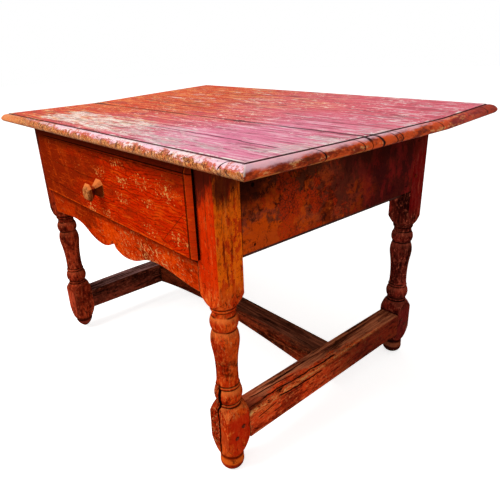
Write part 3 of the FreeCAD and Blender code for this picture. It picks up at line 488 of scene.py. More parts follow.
def paintDrawer(look):
    f = Finish("red_drawer_paint", look)
    x, z = f.x, f.z
    broad = f.noise((7, 7, 16), 6, 0.70)
    warm = f.step(x + (z - 0.58) * -0.9 + (broad - 0.5) * 0.6, -0.25, 0.22)
    tint = warm + (broad - 0.5) * 1.6
    colour = f.blend(look["dark"], look["base"], f.step(tint, 0.05, 0.55))
    colour = f.blend(colour, look["bright"], f.step(tint, 0.62, 1.05))
    glow = f.noise((16, 16, 70), 8, 0.76)
    colour = f.blend(colour, look["orange"], f.step(glow, 0.53, 0.60) * f.step(warm, 0.1, 0.6) * 0.5)
    colour = f.blend(colour, look["dark"], f.step(glow, 0.46, 0.40) * 0.5)
    # growth rings of the flat-sawn board show through as fine broken lines
    ripple = f.noise((4, 4, 12), 5, 0.6)
    wave = f.maths("SINE", z * 860 + ripple * 70 + x * x * -260 + x * 60)
    fibre = f.noise((20, 20, 260), 8, 0.76)
    lines = f.step(wave + (fibre - 0.5) * 3.4 + (broad - 0.5) * 2.0, 0.55, 1.15)
    colour = f.blend(colour, look["line"], lines * (0.30 + f.step(warm, 0.3, 0.9) * 0.32))
    colour = f.blend(colour, look["line"], f.step(fibre, 0.47, 0.32) * 0.6)
    colour = f.blend(colour, look["orange"], f.step(fibre, 0.54, 0.68) * 0.7)
    grit = f.noise((170, 170, 210), 5, 0.76)
    colour = f.blend(colour, look["line"], f.step(grit, 0.44, 0.34) * 0.75)
    slant = f.noise((26, 26, 9), 6, 0.72, 0.0, 0.5)
    colour = f.blend(colour, look["dark"], f.step(slant, 0.47, 0.36) * f.step(x, 0.1, -0.2) * 0.7)
    colour = f.blend(colour, look["orange"], f.step(slant, 0.54, 0.64) * f.step(x, 0.0, -0.25) * 0.25)
    spots = 0.0
    wide, tall = look["fleckShape"]
    for across, up, size in look["flecks"]:
        spots = f.most(spots, f.spot(x * wide, z * tall, (across * wide, up * tall), size, 0.0))
    chip = f.noise((210, 210, 250), 4, 0.72)
    clump = f.noise(60, 4, 0.7)
    bared = chip + spots * 0.13 + (clump - 0.5) * 0.40
    flecks = f.step(bared, 0.69, 0.725)
    colour = f.blend(colour, look["orange"], f.step(bared, 0.63, 0.69) * 0.55)
    colour = f.blend(colour, f.blend(look["tan"], look["olive"], f.step(clump, 0.50, 0.40)), flecks * 0.9)
    shade = f.most(f.step(x, -0.22, -0.37) * 0.2, f.step(z, 0.626, 0.652) * 0.7)
    shade = f.most(shade, f.step(x, 0.20, 0.32) * f.step(z, 0.598, 0.640) * 0.6)
    colour = f.blend(colour, look["shade"], shade)
    # the lip, darker at its right end and along its top, with a line cut inside it, and its outer edges
    # rubbed and given a painted highlight
    scribeX, scribeZ = look["scribe"]
    rubbedX, rubbedZ = look["rubbed"]
    mottle = f.step(f.noise((60, 60, 80), 6, 0.74), 0.40, 0.56)
    lipEnd = f.step(x, scribeX - 0.0005, scribeX + 0.0015)
    lipTop = f.step(z, scribeZ - 0.0005, scribeZ + 0.0015)
    colour = f.blend(colour, look["lip"], lipEnd * (0.35 + mottle * 0.5))
    colour = f.blend(colour, look["lipTop"], lipTop * (0.45 + mottle * 0.45))
    edgeWearAndHighlight = f.most(f.step(abs(z - rubbedZ), 0.0022, 0.0010), f.step(abs(x - rubbedX), 0.0014, 0.0006))
    colour = f.blend(colour, look["orange"], edgeWearAndHighlight * mottle * 0.7)
    scratch = f.crack(x, z, *look["scratch"])
    colour = f.blend(colour, look["shade"], scratch * 0.7)
    scribe = f.most(f.step(abs(x - scribeX), 0.0017, 0.0008), f.step(abs(z - scribeZ), 0.0017, 0.0008))
    split = f.cracks(x, z, look["splits"])
    dark = f.most(scribe * f.step(x, -0.36, -0.30) * 0.85, split * 0.4)
    colour = f.blend(colour, look["gap"], dark)
    edge = f.arris(0.0025) * f.step(f.noise(60, 4, 0.6), 0.42, 0.58)
    colour = f.blend(colour, look["orange"], edge * 0.5)
    # painted shade in the crevices round the drawer front
    colour = f.blend(colour, look["gap"], f.step(f.crevice(0.016), 0.12, 0.50) * 0.9)
    # painted shadow on the side faces of the lip's ends, behind their front edge
    behind = f.step(abs(f.nx), 0.7, 0.9) * f.within(look["shadedSidesAt"])
    colour = f.blend(colour, look["gap"], behind * 0.95)
    wood = f.blend(look["woodDark"], look["wood"], f.step(f.noise((6, 6, 110), 6, 0.65), 0.36, 0.64))
    colour = f.blend(colour, wood, f.step(f.ny, 0.5, 0.7))
    height = fibre * 0.4 - lines * 0.3 - flecks * 0.3 - split * 1.2 - scratch * 0.5 + grit * 0.2
    return f.dress(look, colour, height)


assign(paintDrawer(drawer), "drawer_front")
print("drawer painted")


def coat(f, look, axis):
    # old paint on wood whose grain runs along one axis, before its own marks are added
    broad = f.noise(stretched(axis, look["patch"] * 0.45, look["patch"]), 7, 0.70)
    colour = f.blend(look["dark"], look["base"], f.step(broad, 0.41, 0.49))
    colour = f.blend(colour, look["bright"], f.step(broad, 0.52, 0.59))
    fibre = f.noise(stretched(axis, 12, 200), 8, 0.76)
    colour = f.blend(colour, look["deep"], f.step(fibre, 0.465, 0.37) * look["grain"])
    colour = f.blend(colour, look["light"], f.step(fibre, 0.55, 0.64) * look["grain"] * 0.9)
    mottle = f.noise(stretched(axis, 80, 130), 6, 0.78)
    colour = f.blend(colour, look["deep"], f.step(mottle, 0.455, 0.39) * look["speckle"])
    colour = f.blend(colour, look["light"], f.step(mottle, 0.55, 0.62) * look["speckle"] * 0.9)
    chips = f.step(f.noise(stretched(axis, 70, 170), 6, 0.76), 0.57, 0.62)
    chips = chips * f.step(f.noise(9, 4, 0.6), 0.46, 0.60)
    colour = f.blend(colour, look["worn"], chips * look["chips"])
    edge = f.arris(0.003) * f.step(f.noise(stretched(axis, 26, 70), 6, 0.74), 0.43, 0.56)
    colour = f.blend(colour, look["worn"], edge * look["edges"])
    # painted shade with dirt in the crevices and joints
    colour = f.blend(colour, look["dirtAndShade"], f.step(f.crevice(0.012), 0.10, 0.45) * 0.85)
    height = fibre * 0.5 + mottle * 0.5 - chips * 0.25
    return colour, height


def timber(f, look, axis):
    # the same wood where it was never painted
    grain = f.noise(stretched(axis, 5, 95), 7, 0.66)
    pores = f.noise(stretched(axis, 20, 320), 5, 0.7)
    colour = f.blend(look["deepWood"], look["wood"], f.step(grain, 0.33, 0.62))
    return f.blend(colour, look["deepWood"], f.step(pores, 0.44, 0.30) * 0.6)


skirt = {
    "dark": tone(140, 32, 2), "base": tone(192, 44, 0), "bright": tone(212, 60, 2),
    "deep": tone(72, 10, 0), "light": tone(226, 94, 26), "worn": tone(234, 172, 100),
    "shade": tone(96, 22, 4), "dirtAndShade": tone(26, 7, 3), "wood": tone(122, 78, 46),
    "deepWood": tone(66, 38, 22),
    "patch": 13, "grain": 0.45, "speckle": 0.45, "chips": 0.5, "edges": 0.4,
    "rough": 0.56, "gloss": 0.0, "relief": 0.0014, "rounding": 0.0025,
    "fleckedAt": (("x", 0.00, 0.08), ("x", 0.38, 0.24)),
    # painted shadow of the drawer's lip on the skirt just under it, and a dark painted shadow line right
    # behind it
    "lipShadow": (0.469, 0.481),
    "shadowLineUnderLip": (("z", 0.4838, 0.4868), ("x", -0.373, -0.369), ("x", 0.373, 0.369)),
}


def paintSkirt(look):
    f = Finish("orange_skirt_paint", look)
    colour, height = coat(f, look, "x")
    # flecks worn through beside the middle, slanting with the strokes of the spokeshave
    slant = f.noise((170, 170, 90), 8, 0.80, 0.4, 0.7)
    flecks = f.step(slant + f.step(f.noise(14, 4, 0.6), 0.42, 0.60) * 0.05, 0.585, 0.635)
    colour = f.blend(colour, look["worn"], flecks * f.within(look["fleckedAt"]) * 0.8)
    colour = f.blend(colour, look["deep"], f.step(slant, 0.46, 0.40) * 0.6)
    colour = f.blend(colour, look["shade"], f.step(f.x, -0.08, -0.33) * 0.4)
    # painted shadow of the drawer's lip, and a dark painted shadow line right behind it
    colour = f.blend(colour, look["shade"], f.step(f.z + (slant - 0.5) * 0.02, *look["lipShadow"]) * 0.5)
    colour = f.blend(colour, look["dirtAndShade"], f.within(look["shadowLineUnderLip"]) * 0.9)
    colour = f.blend(colour, timber(f, look, "x"), f.step(f.ny, 0.5, 0.7))
    return f.dress(look, colour, height)


assign(paintSkirt(skirt), "scalloped_skirt")

apron = {
    "dark": tone(84, 24, 8), "base": tone(160, 60, 33), "bright": tone(208, 74, 10),
    "deep": tone(44, 12, 6), "light": tone(206, 90, 28), "worn": tone(180, 96, 44),
    "brown": tone(106, 48, 30), "red": tone(190, 48, 12), "crimson": tone(112, 20, 22),
    "wine": tone(62, 13, 16), "sootAndShade": tone(40, 12, 6), "dirtAndShade": tone(20, 6, 4),
    "wood": tone(112, 72, 42), "deepWood": tone(60, 36, 22),
    "patch": 10, "grain": 0.35, "speckle": 0.75, "chips": 0.15, "edges": 0.3,
    "rough": 0.58, "gloss": 0.0, "relief": 0.0013, "rounding": 0.002,
    "flaked": -0.13,  # how far along the red flakes are thickest
    # along, up and radius of each hole near the front post
    "holes": ((-0.253, 0.625, 0.0052), (-0.253, 0.513, 0.0034)),
}


def paintApron(look, name, axis, inward):
    # axis is the way it runs, inward the side of it that faces into the frame
    f = Finish(name, look)
    colour, height = coat(f, look, axis)
    along, facing = (f.y, f.nx) if axis == "y" else (f.x, f.ny)
    # painted shadow under the top; darker crimson towards the rear, partly its own colour and partly painted
    # shade; crazed orange low down near the front
    lit = f.noise(17, 8, 0.76) + f.step(f.z, 0.62, 0.52) * 0.09 + f.step(along, 0.0, -0.25) * 0.08
    colour = f.blend(colour, look["bright"], f.step(lit, 0.585, 0.625) * f.step(along, 0.02, -0.16) * 0.75)
    colour = f.blend(colour, look["brown"], f.step(lit, 0.575, 0.525) * 0.85)
    crazed = f.cells(150) + (f.noise(300, 4, 0.7) - 0.5) * 0.3
    flakes = f.step(f.noise(14, 6, 0.74) + f.step(abs(along - look["flaked"]), 0.10, 0.03) * 0.12, 0.56, 0.60)
    colour = f.blend(colour, look["red"], flakes * f.step(crazed, 0.02, 0.10) * 0.85)
    colour = f.blend(colour, look["deep"], flakes * f.step(crazed, 0.05, 0.0) * 0.7)
    strokes = f.noise((90, 90, 60), 7, 0.78, 0.3)
    colour = f.blend(colour, look["deep"], f.step(strokes, 0.46, 0.40) * 0.55)
    smokeAndShade = f.noise((26, 26, 12), 7, 0.74)
    far = f.blend(look["wine"], look["crimson"], f.step(smokeAndShade, 0.48, 0.58))
    far = f.blend(far, look["sootAndShade"], f.step(f.noise(120, 5, 0.74), 0.46, 0.36) * 0.35)
    colour = f.blend(colour, far, f.step(along + (f.noise(6, 4, 0.6) - 0.5) * 0.4, -0.14, 0.16) * 0.9)
    # painted shadow under the overhanging top, deepest near the front
    overhangShadow = 0.6 + f.step(along, -0.14, -0.26) * 0.36
    ceiling = f.z + overhangShadow * 0.05 + (f.noise(11, 6, 0.68) - 0.5) * 0.24
    colour = f.blend(colour, look["sootAndShade"], f.step(ceiling, 0.59, 0.685) * overhangShadow)
    if axis == "y":
        for at, up, radius in look["holes"]:
            colour = f.blend(colour, look["dirtAndShade"], f.spot(along, f.z, (at, up), radius))
    colour = f.blend(colour, timber(f, look, axis), f.step(facing * inward, 0.5, 0.7))
    return f.dress(look, colour, height)


smokyShadedRed = paintApron(apron, "smoky_shaded_red_apron", "y", -1)
assign(smokyShadedRed, "end_apron_right", "guide_nails", "runner_nails")
assign(paintApron(apron, "smoky_shaded_red_apron_left", "y", 1), "end_apron_left")
assign(paintApron(apron, "smoky_shaded_red_apron_back", "x", -1), "back_apron")

legs = {
    "leg_front_right": {
        "dark": tone(150, 30, 4), "base": tone(196, 50, 8), "bright": tone(224, 80, 20),
        "deep": tone(62, 12, 2), "light": tone(236, 122, 54), "worn": tone(226, 150, 88),
        "face": tone(206, 40, 0), "side": tone(250, 108, 12), "streak": tone(96, 22, 4), "smokeAndShade": 0.92,
        "blockFace": tone(172, 60, 22), "blockSide": tone(194, 36, 10), "foot": tone(220, 96, 26),
        "chips": 0.45, "shoulder": 0.4, "rings": 0.6,
    },
    "leg_front_left": {
        "dark": tone(70, 15, 6), "base": tone(114, 28, 11), "bright": tone(172, 56, 26),
        "deep": tone(20, 4, 2), "light": tone(196, 88, 52), "worn": tone(206, 118, 78),
        "face": tone(140, 34, 8), "side": tone(116, 40, 14), "streak": tone(66, 16, 4), "smokeAndShade": 0.85,
        "blockFace": tone(190, 72, 44), "blockSide": tone(136, 54, 36), "foot": tone(130, 48, 34),
        "chips": 0.3, "shoulder": 0.1, "rings": 0.35,
    },
    # its darker colours are partly painted shade at the rear of the frame
    "leg_rear_right": {
        "dark": tone(50, 11, 8), "base": tone(92, 26, 18), "bright": tone(146, 44, 30),
        "deep": tone(16, 4, 3), "light": tone(196, 92, 66), "worn": tone(208, 126, 88),
        "face": tone(56, 12, 6), "side": tone(118, 12, 12), "streak": tone(44, 6, 6), "smokeAndShade": 0.6,
        "blockFace": tone(76, 20, 14), "blockSide": tone(120, 32, 28), "foot": tone(150, 78, 50),
        "chips": 0.22, "shoulder": 0.2, "rings": 0.3,
    },
    # its darker colours are partly painted shade at the rear of the frame
    "leg_rear_left": {
        "dark": tone(60, 17, 9), "base": tone(98, 30, 16), "bright": tone(128, 42, 22),
        "deep": tone(30, 8, 5), "light": tone(160, 78, 52), "worn": tone(186, 112, 76),
        "face": tone(90, 24, 10), "side": tone(110, 32, 16), "streak": tone(60, 16, 8), "smokeAndShade": 0.7,
        "blockFace": tone(100, 28, 16), "blockSide": tone(104, 30, 16), "foot": tone(140, 66, 34),
        "chips": 0.3, "shoulder": 0.2, "rings": 0.35,
    },
}
legCommon = {
    "dirtAndShade": tone(14, 4, 2), "sootAndShade": tone(70, 21, 12), "moss": tone(110, 80, 36),
    "patch": 17, "grain": 0.65, "speckle": 0.8, "edges": 0.55,
    "rough": 0.55, "gloss": 0.0, "relief": 0.0016, "rounding": 0.0012,
    # how high each part of the leg is, as ramps that bound it
    "postAt": (("z", 0.42, 0.46),),
    "turnedAt": (("z", 0.168, 0.176), ("z", 0.404, 0.398)),
    "shoulderAt": (("z", 0.118, 0.136), ("z", 0.176, 0.168)),
    "blockAt": (("z", 0.155, 0.140), ("z", 0.046, 0.056)),
    # heights of the cuts between one turned member and the next
    "cuts": (0.172, 0.179, 0.215, 0.222, 0.349, 0.380, 0.3915, 0.399),
    # heights of the foot's swell, of the hollow over it and of its top
    "swell": 0.026, "hollow": 0.039, "ankle": (0.052, 0.040),
}
nearLeg = {
    # its long split, the worm-eaten wood beside it, and its darkened waist and band
    "splitX": 0.3925,
    "splitAt": (("z", 0.040, 0.06), ("z", 0.236, 0.216)),
    "knot": 0.196,  # the height at which the split swells and bends
    "wormAt": (("z", 0.245, 0.2), ("z", 0.05, 0.08)),
    "waistAt": (("z", 0.340, 0.315), ("z", 0.225, 0.25)),
    "burnt": 0.262,
    "peg": (-0.300, 0.119, 0.0075),  # y, z and radius of a star-shaped check
    "otherPegs": tone(74, 14, 9),
}


def postPaint(f, look, colour, onFace, onSide, streak, blotch):
    # the upper block keeps more paint on its outer faces, streaked down the grain
    upper = f.within(look["postAt"])
    outer = f.most(onFace, onSide) * upper
    keep = f.step(streak, 0.37, 0.50)
    colour = f.blend(colour, look["face"], upper * onFace * keep * 0.85)
    colour = f.blend(colour, look["side"], upper * onSide * keep * 0.93)
    colour = f.blend(colour, look["blockSide"], upper * onSide * f.step(blotch, 0.50, 0.56) * 0.8)
    colour = f.blend(colour, look["streak"], upper * onSide * f.step(blotch, 0.45, 0.40) * 0.4)
    colour = f.blend(colour, look["streak"], outer * f.step(streak, 0.45, 0.38) * 0.75)
    colour = f.blend(colour, look["light"], outer * f.step(streak, 0.57, 0.64) * 0.55)
    flaws = f.noise((150, 150, 110), 6, 0.8)
    colour = f.blend(colour, look["streak"], outer * f.step(flaws, 0.45, 0.39) * 0.6)
    # painted shadow of the overhanging top darkens the upper part of each post
    smokeAndShade = f.z + (f.noise((34, 34, 9), 7, 0.74) - 0.5) * 0.24 + onSide * 0.002
    return f.blend(colour, look["sootAndShade"], f.step(smokeAndShade, 0.585, 0.636) * look["smokeAndShade"])


def blockPaint(f, look, colour, onFace, onSide, blotch):
    # the lower block, and its shoulders where the lathe has cut across the corners
    block = f.within(look["blockAt"])
    hold = f.step(f.noise((40, 40, 22), 6, 0.72), 0.40, 0.54)
    colour = f.blend(colour, look["blockFace"], block * onFace * hold * 0.7)
    colour = f.blend(colour, look["blockSide"], block * onSide * hold * 0.8)
    # painted light on the shoulders that face up
    shoulder = f.within(look["shoulderAt"]) * f.step(f.nz, 0.12, 0.35)
    return f.blend(colour, look["light"], shoulder * f.step(blotch, 0.40, 0.54) * look["shoulder"])


def turnedPaint(f, look, colour, blotch):
    # painted light on the upper side of each turned swell, painted shade below it and on the side facing the
    # rear
    turned = f.within(look["turnedAt"])
    uneven = (blotch - 0.5) * 0.8
    colour = f.blend(colour, look["light"], turned * f.step(f.nz + uneven, 0.06, 0.50) * look["rings"])
    colour = f.blend(colour, look["dark"], turned * f.step(f.nz - uneven, -0.10, -0.5) * 0.5)
    colour = f.blend(colour, look["dark"], turned * f.step(f.ny + (blotch - 0.5) * 0.6, 0.20, 0.80) * 0.6)
    # painted shade with dirt in the turned hollows, and a sharp dark line at each cut
    packed = f.step(f.crevice(0.0045), 0.10, 0.36) * f.step(f.z, 0.46, 0.42)
    colour = f.blend(colour, look["dirtAndShade"], packed * 0.85)
    cuts = 0.0
    for level in look["cuts"]:
        cuts = f.most(cuts, f.step(abs(f.z - level), 0.0019, 0.0008))
    cuts = cuts * f.step(f.noise((30, 30, 90), 4, 0.6), 0.36, 0.50)
    return f.blend(colour, look["deep"], cuts * 0.85), cuts


def footPaint(f, look, colour):
    # feet are rubbed: a pale band round the swell and dirt above and below it
    foot = f.step(f.z + (f.noise(40, 4) - 0.5) * 0.02, *look["ankle"])
    toe = f.blend(look["dark"], look["foot"], f.step(abs(f.z - look["swell"]), 0.010, 0.004))
    toe = f.blend(toe, look["deep"], f.step(abs(f.z - look["hollow"]), 0.006, 0.002) * 0.8)
    toe = f.blend(toe, look["deep"], f.step(f.noise(70, 6, 0.74), 0.46, 0.36) * 0.8)
    toe = f.blend(toe, look["moss"], f.step(f.z, 0.012, 0.004) * 0.5)
    return f.blend(colour, toe, foot * 0.85)


def nearLegMarks(f, look, colour, height, blotch):
    line = (f.noise((0.01, 0.01, 26), 4, 0.6) - 0.5) * 0.014
    knot = f.step(abs(f.z - look["knot"]), 0.040, 0.006)
    across = abs(f.x - look["splitX"] - line - knot * 0.005) - knot * 0.0016
    gap = f.step(across, 0.0026, 0.0013) * f.step(f.ny, 0.2, -0.1) * f.within(look["splitAt"])
    # the worm has been at the wood beside the long split
    eaten = f.step(f.x - line, 0.396, 0.391) * f.step(f.ny, 0.1, -0.3) * f.within(look["wormAt"])
    holes = f.step(f.noise(200, 5, 0.74), 0.475, 0.40)
    colour = f.blend(colour, look["dark"], eaten * 0.8)
    colour = f.blend(colour, look["worn"], eaten * f.step(f.noise(95, 6, 0.78), 0.53, 0.58) * 0.55)
    colour = f.blend(colour, look["deep"], eaten * holes * 0.9)
    colour = f.blend(colour, look["dirtAndShade"], gap)
    waist = f.within(look["waistAt"])
    colour = f.blend(colour, look["dark"], waist * f.step(blotch, 0.40, 0.56) * 0.45)
    burnt = f.step(abs(f.z - look["burnt"]), 0.030, 0.010) * f.step(f.noise(60, 5, 0.74), 0.46, 0.58)
    colour = f.blend(colour, look["deep"], burnt * 0.8)
    # the pegs of the other posts share this paint, darkened like the posts round them
    away = f.most(f.step(f.y, -0.1, 0.1), f.step(f.x, 0.1, -0.1))
    colour = f.blend(colour, look["otherPegs"], away * 0.9)
    pegY, pegZ, pegRadius = look["peg"]
    star = f.spot(f.y, f.z, (pegY, pegZ), pegRadius, 0.1) * f.step(f.nx, 0.7, 0.9)
    colour = f.blend(colour, look["dirtAndShade"], star * f.step(f.noise(300, 3), 0.5, 0.42))
    return colour, height - gap * 3 - eaten * holes


def paintLeg(name, look):
    look = {**legCommon, **look}
    f = Finish("paint_" + name, look)
    colour, height = coat(f, look, "z")
    outX = f.nx if name.endswith("right") else 0.0 - f.nx
    outY = 0.0 - f.ny if "front" in name else f.ny
    onFace = f.step(outY, 0.6, 0.8)
    onSide = f.step(outX, 0.6, 0.8)
    streak = f.noise((120, 120, 7), 8, 0.78)
    blotch = f.noise((44, 44, 20), 8, 0.78)
    colour = postPaint(f, look, colour, onFace, onSide, streak, blotch)
    colour = blockPaint(f, look, colour, onFace, onSide, blotch)
    colour, cuts = turnedPaint(f, look, colour, blotch)
    colour = footPaint(f, look, colour)
    if name == "leg_front_right":
        colour, height = nearLegMarks(f, {**look, **nearLeg}, colour, height, blotch)
    return f.dress(look, colour, height - cuts * 0.8)


legPaint = {name: paintLeg(name, look) for name, look in legs.items()}
for legName, finish in legPaint.items():
    assign(finish, legName)
assign(legPaint["leg_front_right"], "apron_pegs", "rail_pegs")
print("frame painted")

stretchers = {
    "side_stretcher_right": {
        "dark": tone(158, 42, 16), "base": tone(226, 70, 26), "bright": tone(240, 96, 40),
        "deep": tone(62, 15, 8), "light": tone(240, 132, 72), "worn": tone(252, 182, 104),
        "topDark": tone(118, 56, 34), "topLight": tone(204, 118, 78), "chips": 0.5,
        "arris": (0.420, 0.136),  # x and z of its torn outer edge
        "keptAt": (("y", 0.14, 0.03), ("y", -0.27, -0.2)),
        # splits in its top, as (y, x), and in its outer face, as (y, z)
        "topSplits": (
            ((-0.235, 0.403), (0.02, 0.411), 0.0022, 0.010, 14),
            ((-0.255, 0.380), (-0.11, 0.392), 0.0018, 0.008, 14),
        ),
        "faceSplits": (
            ((-0.20, 0.128), (-0.04, 0.124), 0.0020, 0.010, 14),
            ((-0.26, 0.112), (-0.20, 0.122), 0.0016, 0.006, 14),
        ),
    },
    "side_stretcher_left": {
        "dark": tone(64, 23, 14), "base": tone(96, 37, 24), "bright": tone(130, 52, 34),
        "deep": tone(26, 7, 3), "light": tone(146, 74, 52), "worn": tone(166, 106, 86),
        "topDark": tone(78, 42, 34), "topLight": tone(168, 120, 114), "chips": 0.15,
    },
    "medial_stretcher": {
        "dark": tone(74, 26, 12), "base": tone(122, 40, 18), "bright": tone(162, 60, 30),
        "deep": tone(26, 7, 3), "light": tone(184, 88, 48), "worn": tone(200, 118, 70),
        "topDark": tone(84, 42, 28), "topLight": tone(154, 86, 60), "chips": 0.3,
    },
}
stretcherCommon = {
    "dirtAndShade": tone(14, 5, 3), "wine": tone(84, 26, 20),
    "patch": 16, "grain": 0.75, "speckle": 0.8, "edges": 0.5,
    "rough": 0.6, "gloss": 0.0, "relief": 0.0020, "rounding": 0.0022,
}


def tornArris(f, look, colour, up):
    # the outer edge is broken away to bright wood, with long splits on both sides of it
    arrisX, arrisZ = look["arris"]
    depth = f.most(arrisX - f.x, arrisZ - f.z)
    broken = f.noise((90, 34, 90), 7, 0.78)
    rubbed = f.step(depth + (broken - 0.5) * 0.05, 0.012, 0.006) * f.step(f.y, 0.24, 0.10)
    colour = f.blend(colour, look["bright"], rubbed * 0.8)
    colour = f.blend(colour, look["worn"], rubbed * f.step(broken, 0.50, 0.54) * 0.95)
    colour = f.blend(colour, look["dirtAndShade"], rubbed * f.step(broken, 0.455, 0.41) * 0.95)
    topSide = f.cracks(f.y, f.x, look["topSplits"]) * up
    outside = f.cracks(f.y, f.z, look["faceSplits"]) * (1.0 - up)
    hollow = f.most(topSide, outside)
    colour = f.blend(colour, look["dirtAndShade"], hollow * 0.95)
    # a thin pale line on the arris, partly rubbed wood and partly painted highlight
    ridge = f.step(depth, 0.0034, 0.0012) * f.step(f.noise((60, 24, 60), 6, 0.76), 0.44, 0.52)
    colour = f.blend(colour, look["worn"], ridge * f.step(f.y, 0.2, 0.1) * 0.75)
    # the outer face darkens to wine towards the rear, partly its own colour and partly painted shade
    colour = f.blend(colour, look["wine"], f.step(f.y, -0.12, 0.10) * (1.0 - up) * 0.8)
    return colour, rubbed * 0.4 - hollow * 2.5


def paintStretcher(name, look):
    look = {**stretcherCommon, **look}
    f = Finish("paint_" + name, look)
    axis = "x" if name.startswith("medial") else "y"
    colour, height = coat(f, look, axis)
    # feet have worn the paint from the top down to dark split wood
    up = f.step(f.nz, 0.6, 0.9)
    grain = f.noise(stretched(axis, 6, 130), 8, 0.78)
    bare = f.blend(look["topDark"], look["topLight"], f.step(grain, 0.42, 0.60))
    bare = f.blend(bare, look["deep"], f.step(f.noise(stretched(axis, 16, 70), 7, 0.76), 0.46, 0.36) * 0.7)
    splits = f.step(f.noise(stretched(axis, 3.4, 80), 6, 0.66), 0.425, 0.385)
    bare = f.blend(bare, look["dirtAndShade"], splits * 0.9)
    kept = 0.0
    if "keptAt" in look:
        # some paint is left along the outer half of the top
        ragged = f.x + (f.noise((34, 12, 34), 6, 0.74) - 0.5) * 0.07
        kept = f.step(ragged, 0.390, 0.404) * f.step(f.noise((24, 7, 24), 5, 0.7), 0.42, 0.52)
        kept = kept * f.within(look["keptAt"])
    colour = f.blend(colour, bare, up * (1.0 - kept) * 0.95)
    if axis == "y":
        colour = f.blend(colour, look["dark"], up * f.step(f.y, -0.20, -0.27) * 0.55)
    else:
        colour = f.blend(colour, look["deep"], f.step(f.x, 0.04, -0.12) * 0.6)
    tear = f.step(f.noise(stretched(axis, 14, 80), 7, 0.76), 0.435, 0.38)
    colour = f.blend(colour, look["dirtAndShade"], tear * 0.6)
    if "arris" in look:
        colour, torn = tornArris(f, look, colour, up)
        height = height + torn
    else:
        edge = f.arris(0.005) * f.step(f.noise(stretched(axis, 18, 80), 6, 0.76), 0.46, 0.56)
        colour = f.blend(colour, look["worn"], edge * 0.6)
    height = height + grain * 0.6 - splits * up * 1.5 - tear
    return f.dress(look, colour, height)


for stretcherName, stretcherLook in stretchers.items():
    assign(paintStretcher(stretcherName, stretcherLook), stretcherName)
print("stretchers painted")

inner = {
    "bare": {"deepWood": tone(74, 44, 26), "wood": tone(140, 94, 56)},
    "stained": {"deepWood": tone(46, 17, 9), "wood": tone(92, 36, 18)},
    "dirtAndShade": tone(20, 11, 8),
    "rough": 0.7, "gloss": 0.15, "relief": 0.0007, "rounding": 0.0012,
}


def bareWood(look, kind, axis):
    f = Finish(kind + "_wood_" + axis, look)
    colour = timber(f, look[kind], axis)
    blotch = f.step(f.noise(stretched(axis, 4, 12), 5, 0.62), 0.52, 0.68)
    colour = f.blend(colour, look[kind]["deepWood"], blotch * 0.5)
    # painted shade with dirt in the crevices
    colour = f.blend(colour, look["dirtAndShade"], f.step(f.crevice(0.012), 0.12, 0.55) * 0.8)
    return f.dress(look, colour, f.noise(stretched(axis, 9, 160), 6, 0.68))


alongY = bareWood(inner, "bare", "y")
alongX = bareWood(inner, "bare", "x")
assign(alongX, "drawer_back", "drawer_bottom_front", "drawer_bottom_rear", "drawer_top_rail")
assign(alongY, "drawer_side_left", "drawer_side_right", "drawer_guide_left", "drawer_guide_right")
assign(alongY, "drawer_kicker_left", "drawer_kicker_right")
assign(bareWood(inner, "stained", "y"), "drawer_runner_left", "drawer_runner_right")

knob = {
    "dark": tone(112, 34, 6), "base": tone(168, 60, 14), "light": tone(236, 132, 66),
    "pale": tone(206, 130, 72), "deep": tone(44, 8, 1),
    "rough": 0.5, "gloss": 0.0, "relief": 0.0010, "rounding": 0.0006,
    "tip": (-0.381, -0.386),  # how far forward its sawn end begins, and is full
}


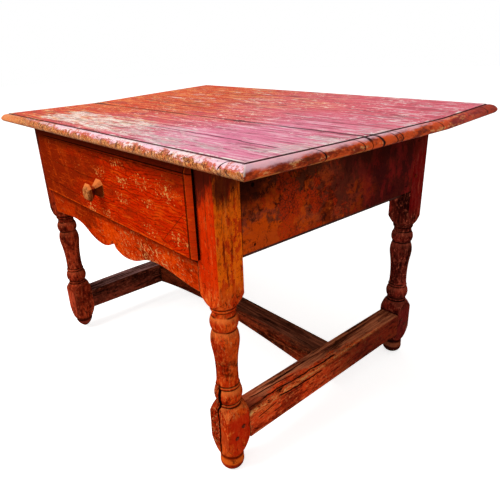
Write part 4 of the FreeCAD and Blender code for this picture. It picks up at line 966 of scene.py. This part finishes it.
def finishKnob(look):
    f = Finish("carved_knob_wood", look)
    cut = f.noise((34, 70, 34), 6, 0.74)
    colour = f.blend(look["dark"], look["base"], f.step(cut, 0.38, 0.52))
    colour = f.blend(colour, look["light"], f.step(cut, 0.53, 0.66) * 0.6)
    # painted light on the facets that face up, painted shade on those that face +x and down
    colour = f.blend(colour, look["light"], f.step(f.nz + (cut - 0.5) * 0.8, 0.15, 0.65) * 0.8)
    colour = f.blend(colour, look["deep"], f.step(f.nx - f.nz * 0.6 + (cut - 0.5) * 0.8, 0.25, 0.75) * 0.75)
    colour = f.blend(colour, look["light"], f.arris(0.0016) * 0.6)
    tip = f.step(f.y, *look["tip"])
    marks = f.step(f.noise((160, 60, 160), 5, 0.74, 1.5), 0.50, 0.42)
    colour = f.blend(colour, f.blend(look["pale"], look["dark"], marks * 0.85), tip * 0.75)
    # painted shade in the hollows of the knob and where it meets the drawer
    colour = f.blend(colour, look["deep"], f.step(f.crevice(0.010), 0.15, 0.6) * 0.8)
    return f.dress(look, colour, cut * 0.6 - marks * tip)


assign(finishKnob(knob), "drawer_knob")

pegs = {
    "ring": tone(52, 17, 8), "heart": tone(134, 50, 22), "edge": tone(22, 8, 5),
    "rough": 0.65, "gloss": 0.05, "relief": 0.0006, "rounding": 0.0008,
}


def finishPegs(look):
    f = Finish("peg_end_grain", look)
    grain = f.noise(420, 4, 0.7)
    colour = f.blend(look["ring"], look["heart"], f.step(grain, 0.38, 0.62))
    # painted shade round each peg where it meets its hole
    colour = f.blend(colour, look["edge"], f.step(f.crevice(0.004), 0.10, 0.45))
    return f.dress(look, colour, grain)


assign(finishPegs(pegs), "stretcher_pegs")

nails = {
    "rust": tone(74, 34, 20), "iron": tone(40, 34, 32), "pale": tone(120, 66, 40),
    "rough": 0.6, "gloss": 0.4, "relief": 0.0005, "rounding": 0.0006,
}


def finishNails(look):
    f = Finish("rusty_nails", look)
    rust = f.noise(500, 5, 0.7)
    colour = f.blend(look["iron"], look["rust"], f.step(rust, 0.40, 0.56))
    colour = f.blend(colour, look["pale"], f.step(rust, 0.58, 0.70) * 0.7)
    f.feed(f.inputs["Metallic"], f.step(rust, 0.50, 0.38) * 0.7)
    return f.dress(look, colour, rust)


assign(finishNails(nails), "drawer_nails")
print("inner wood, knob, pegs and nails finished")

bpy.context.scene.view_settings.view_transform = "Standard"
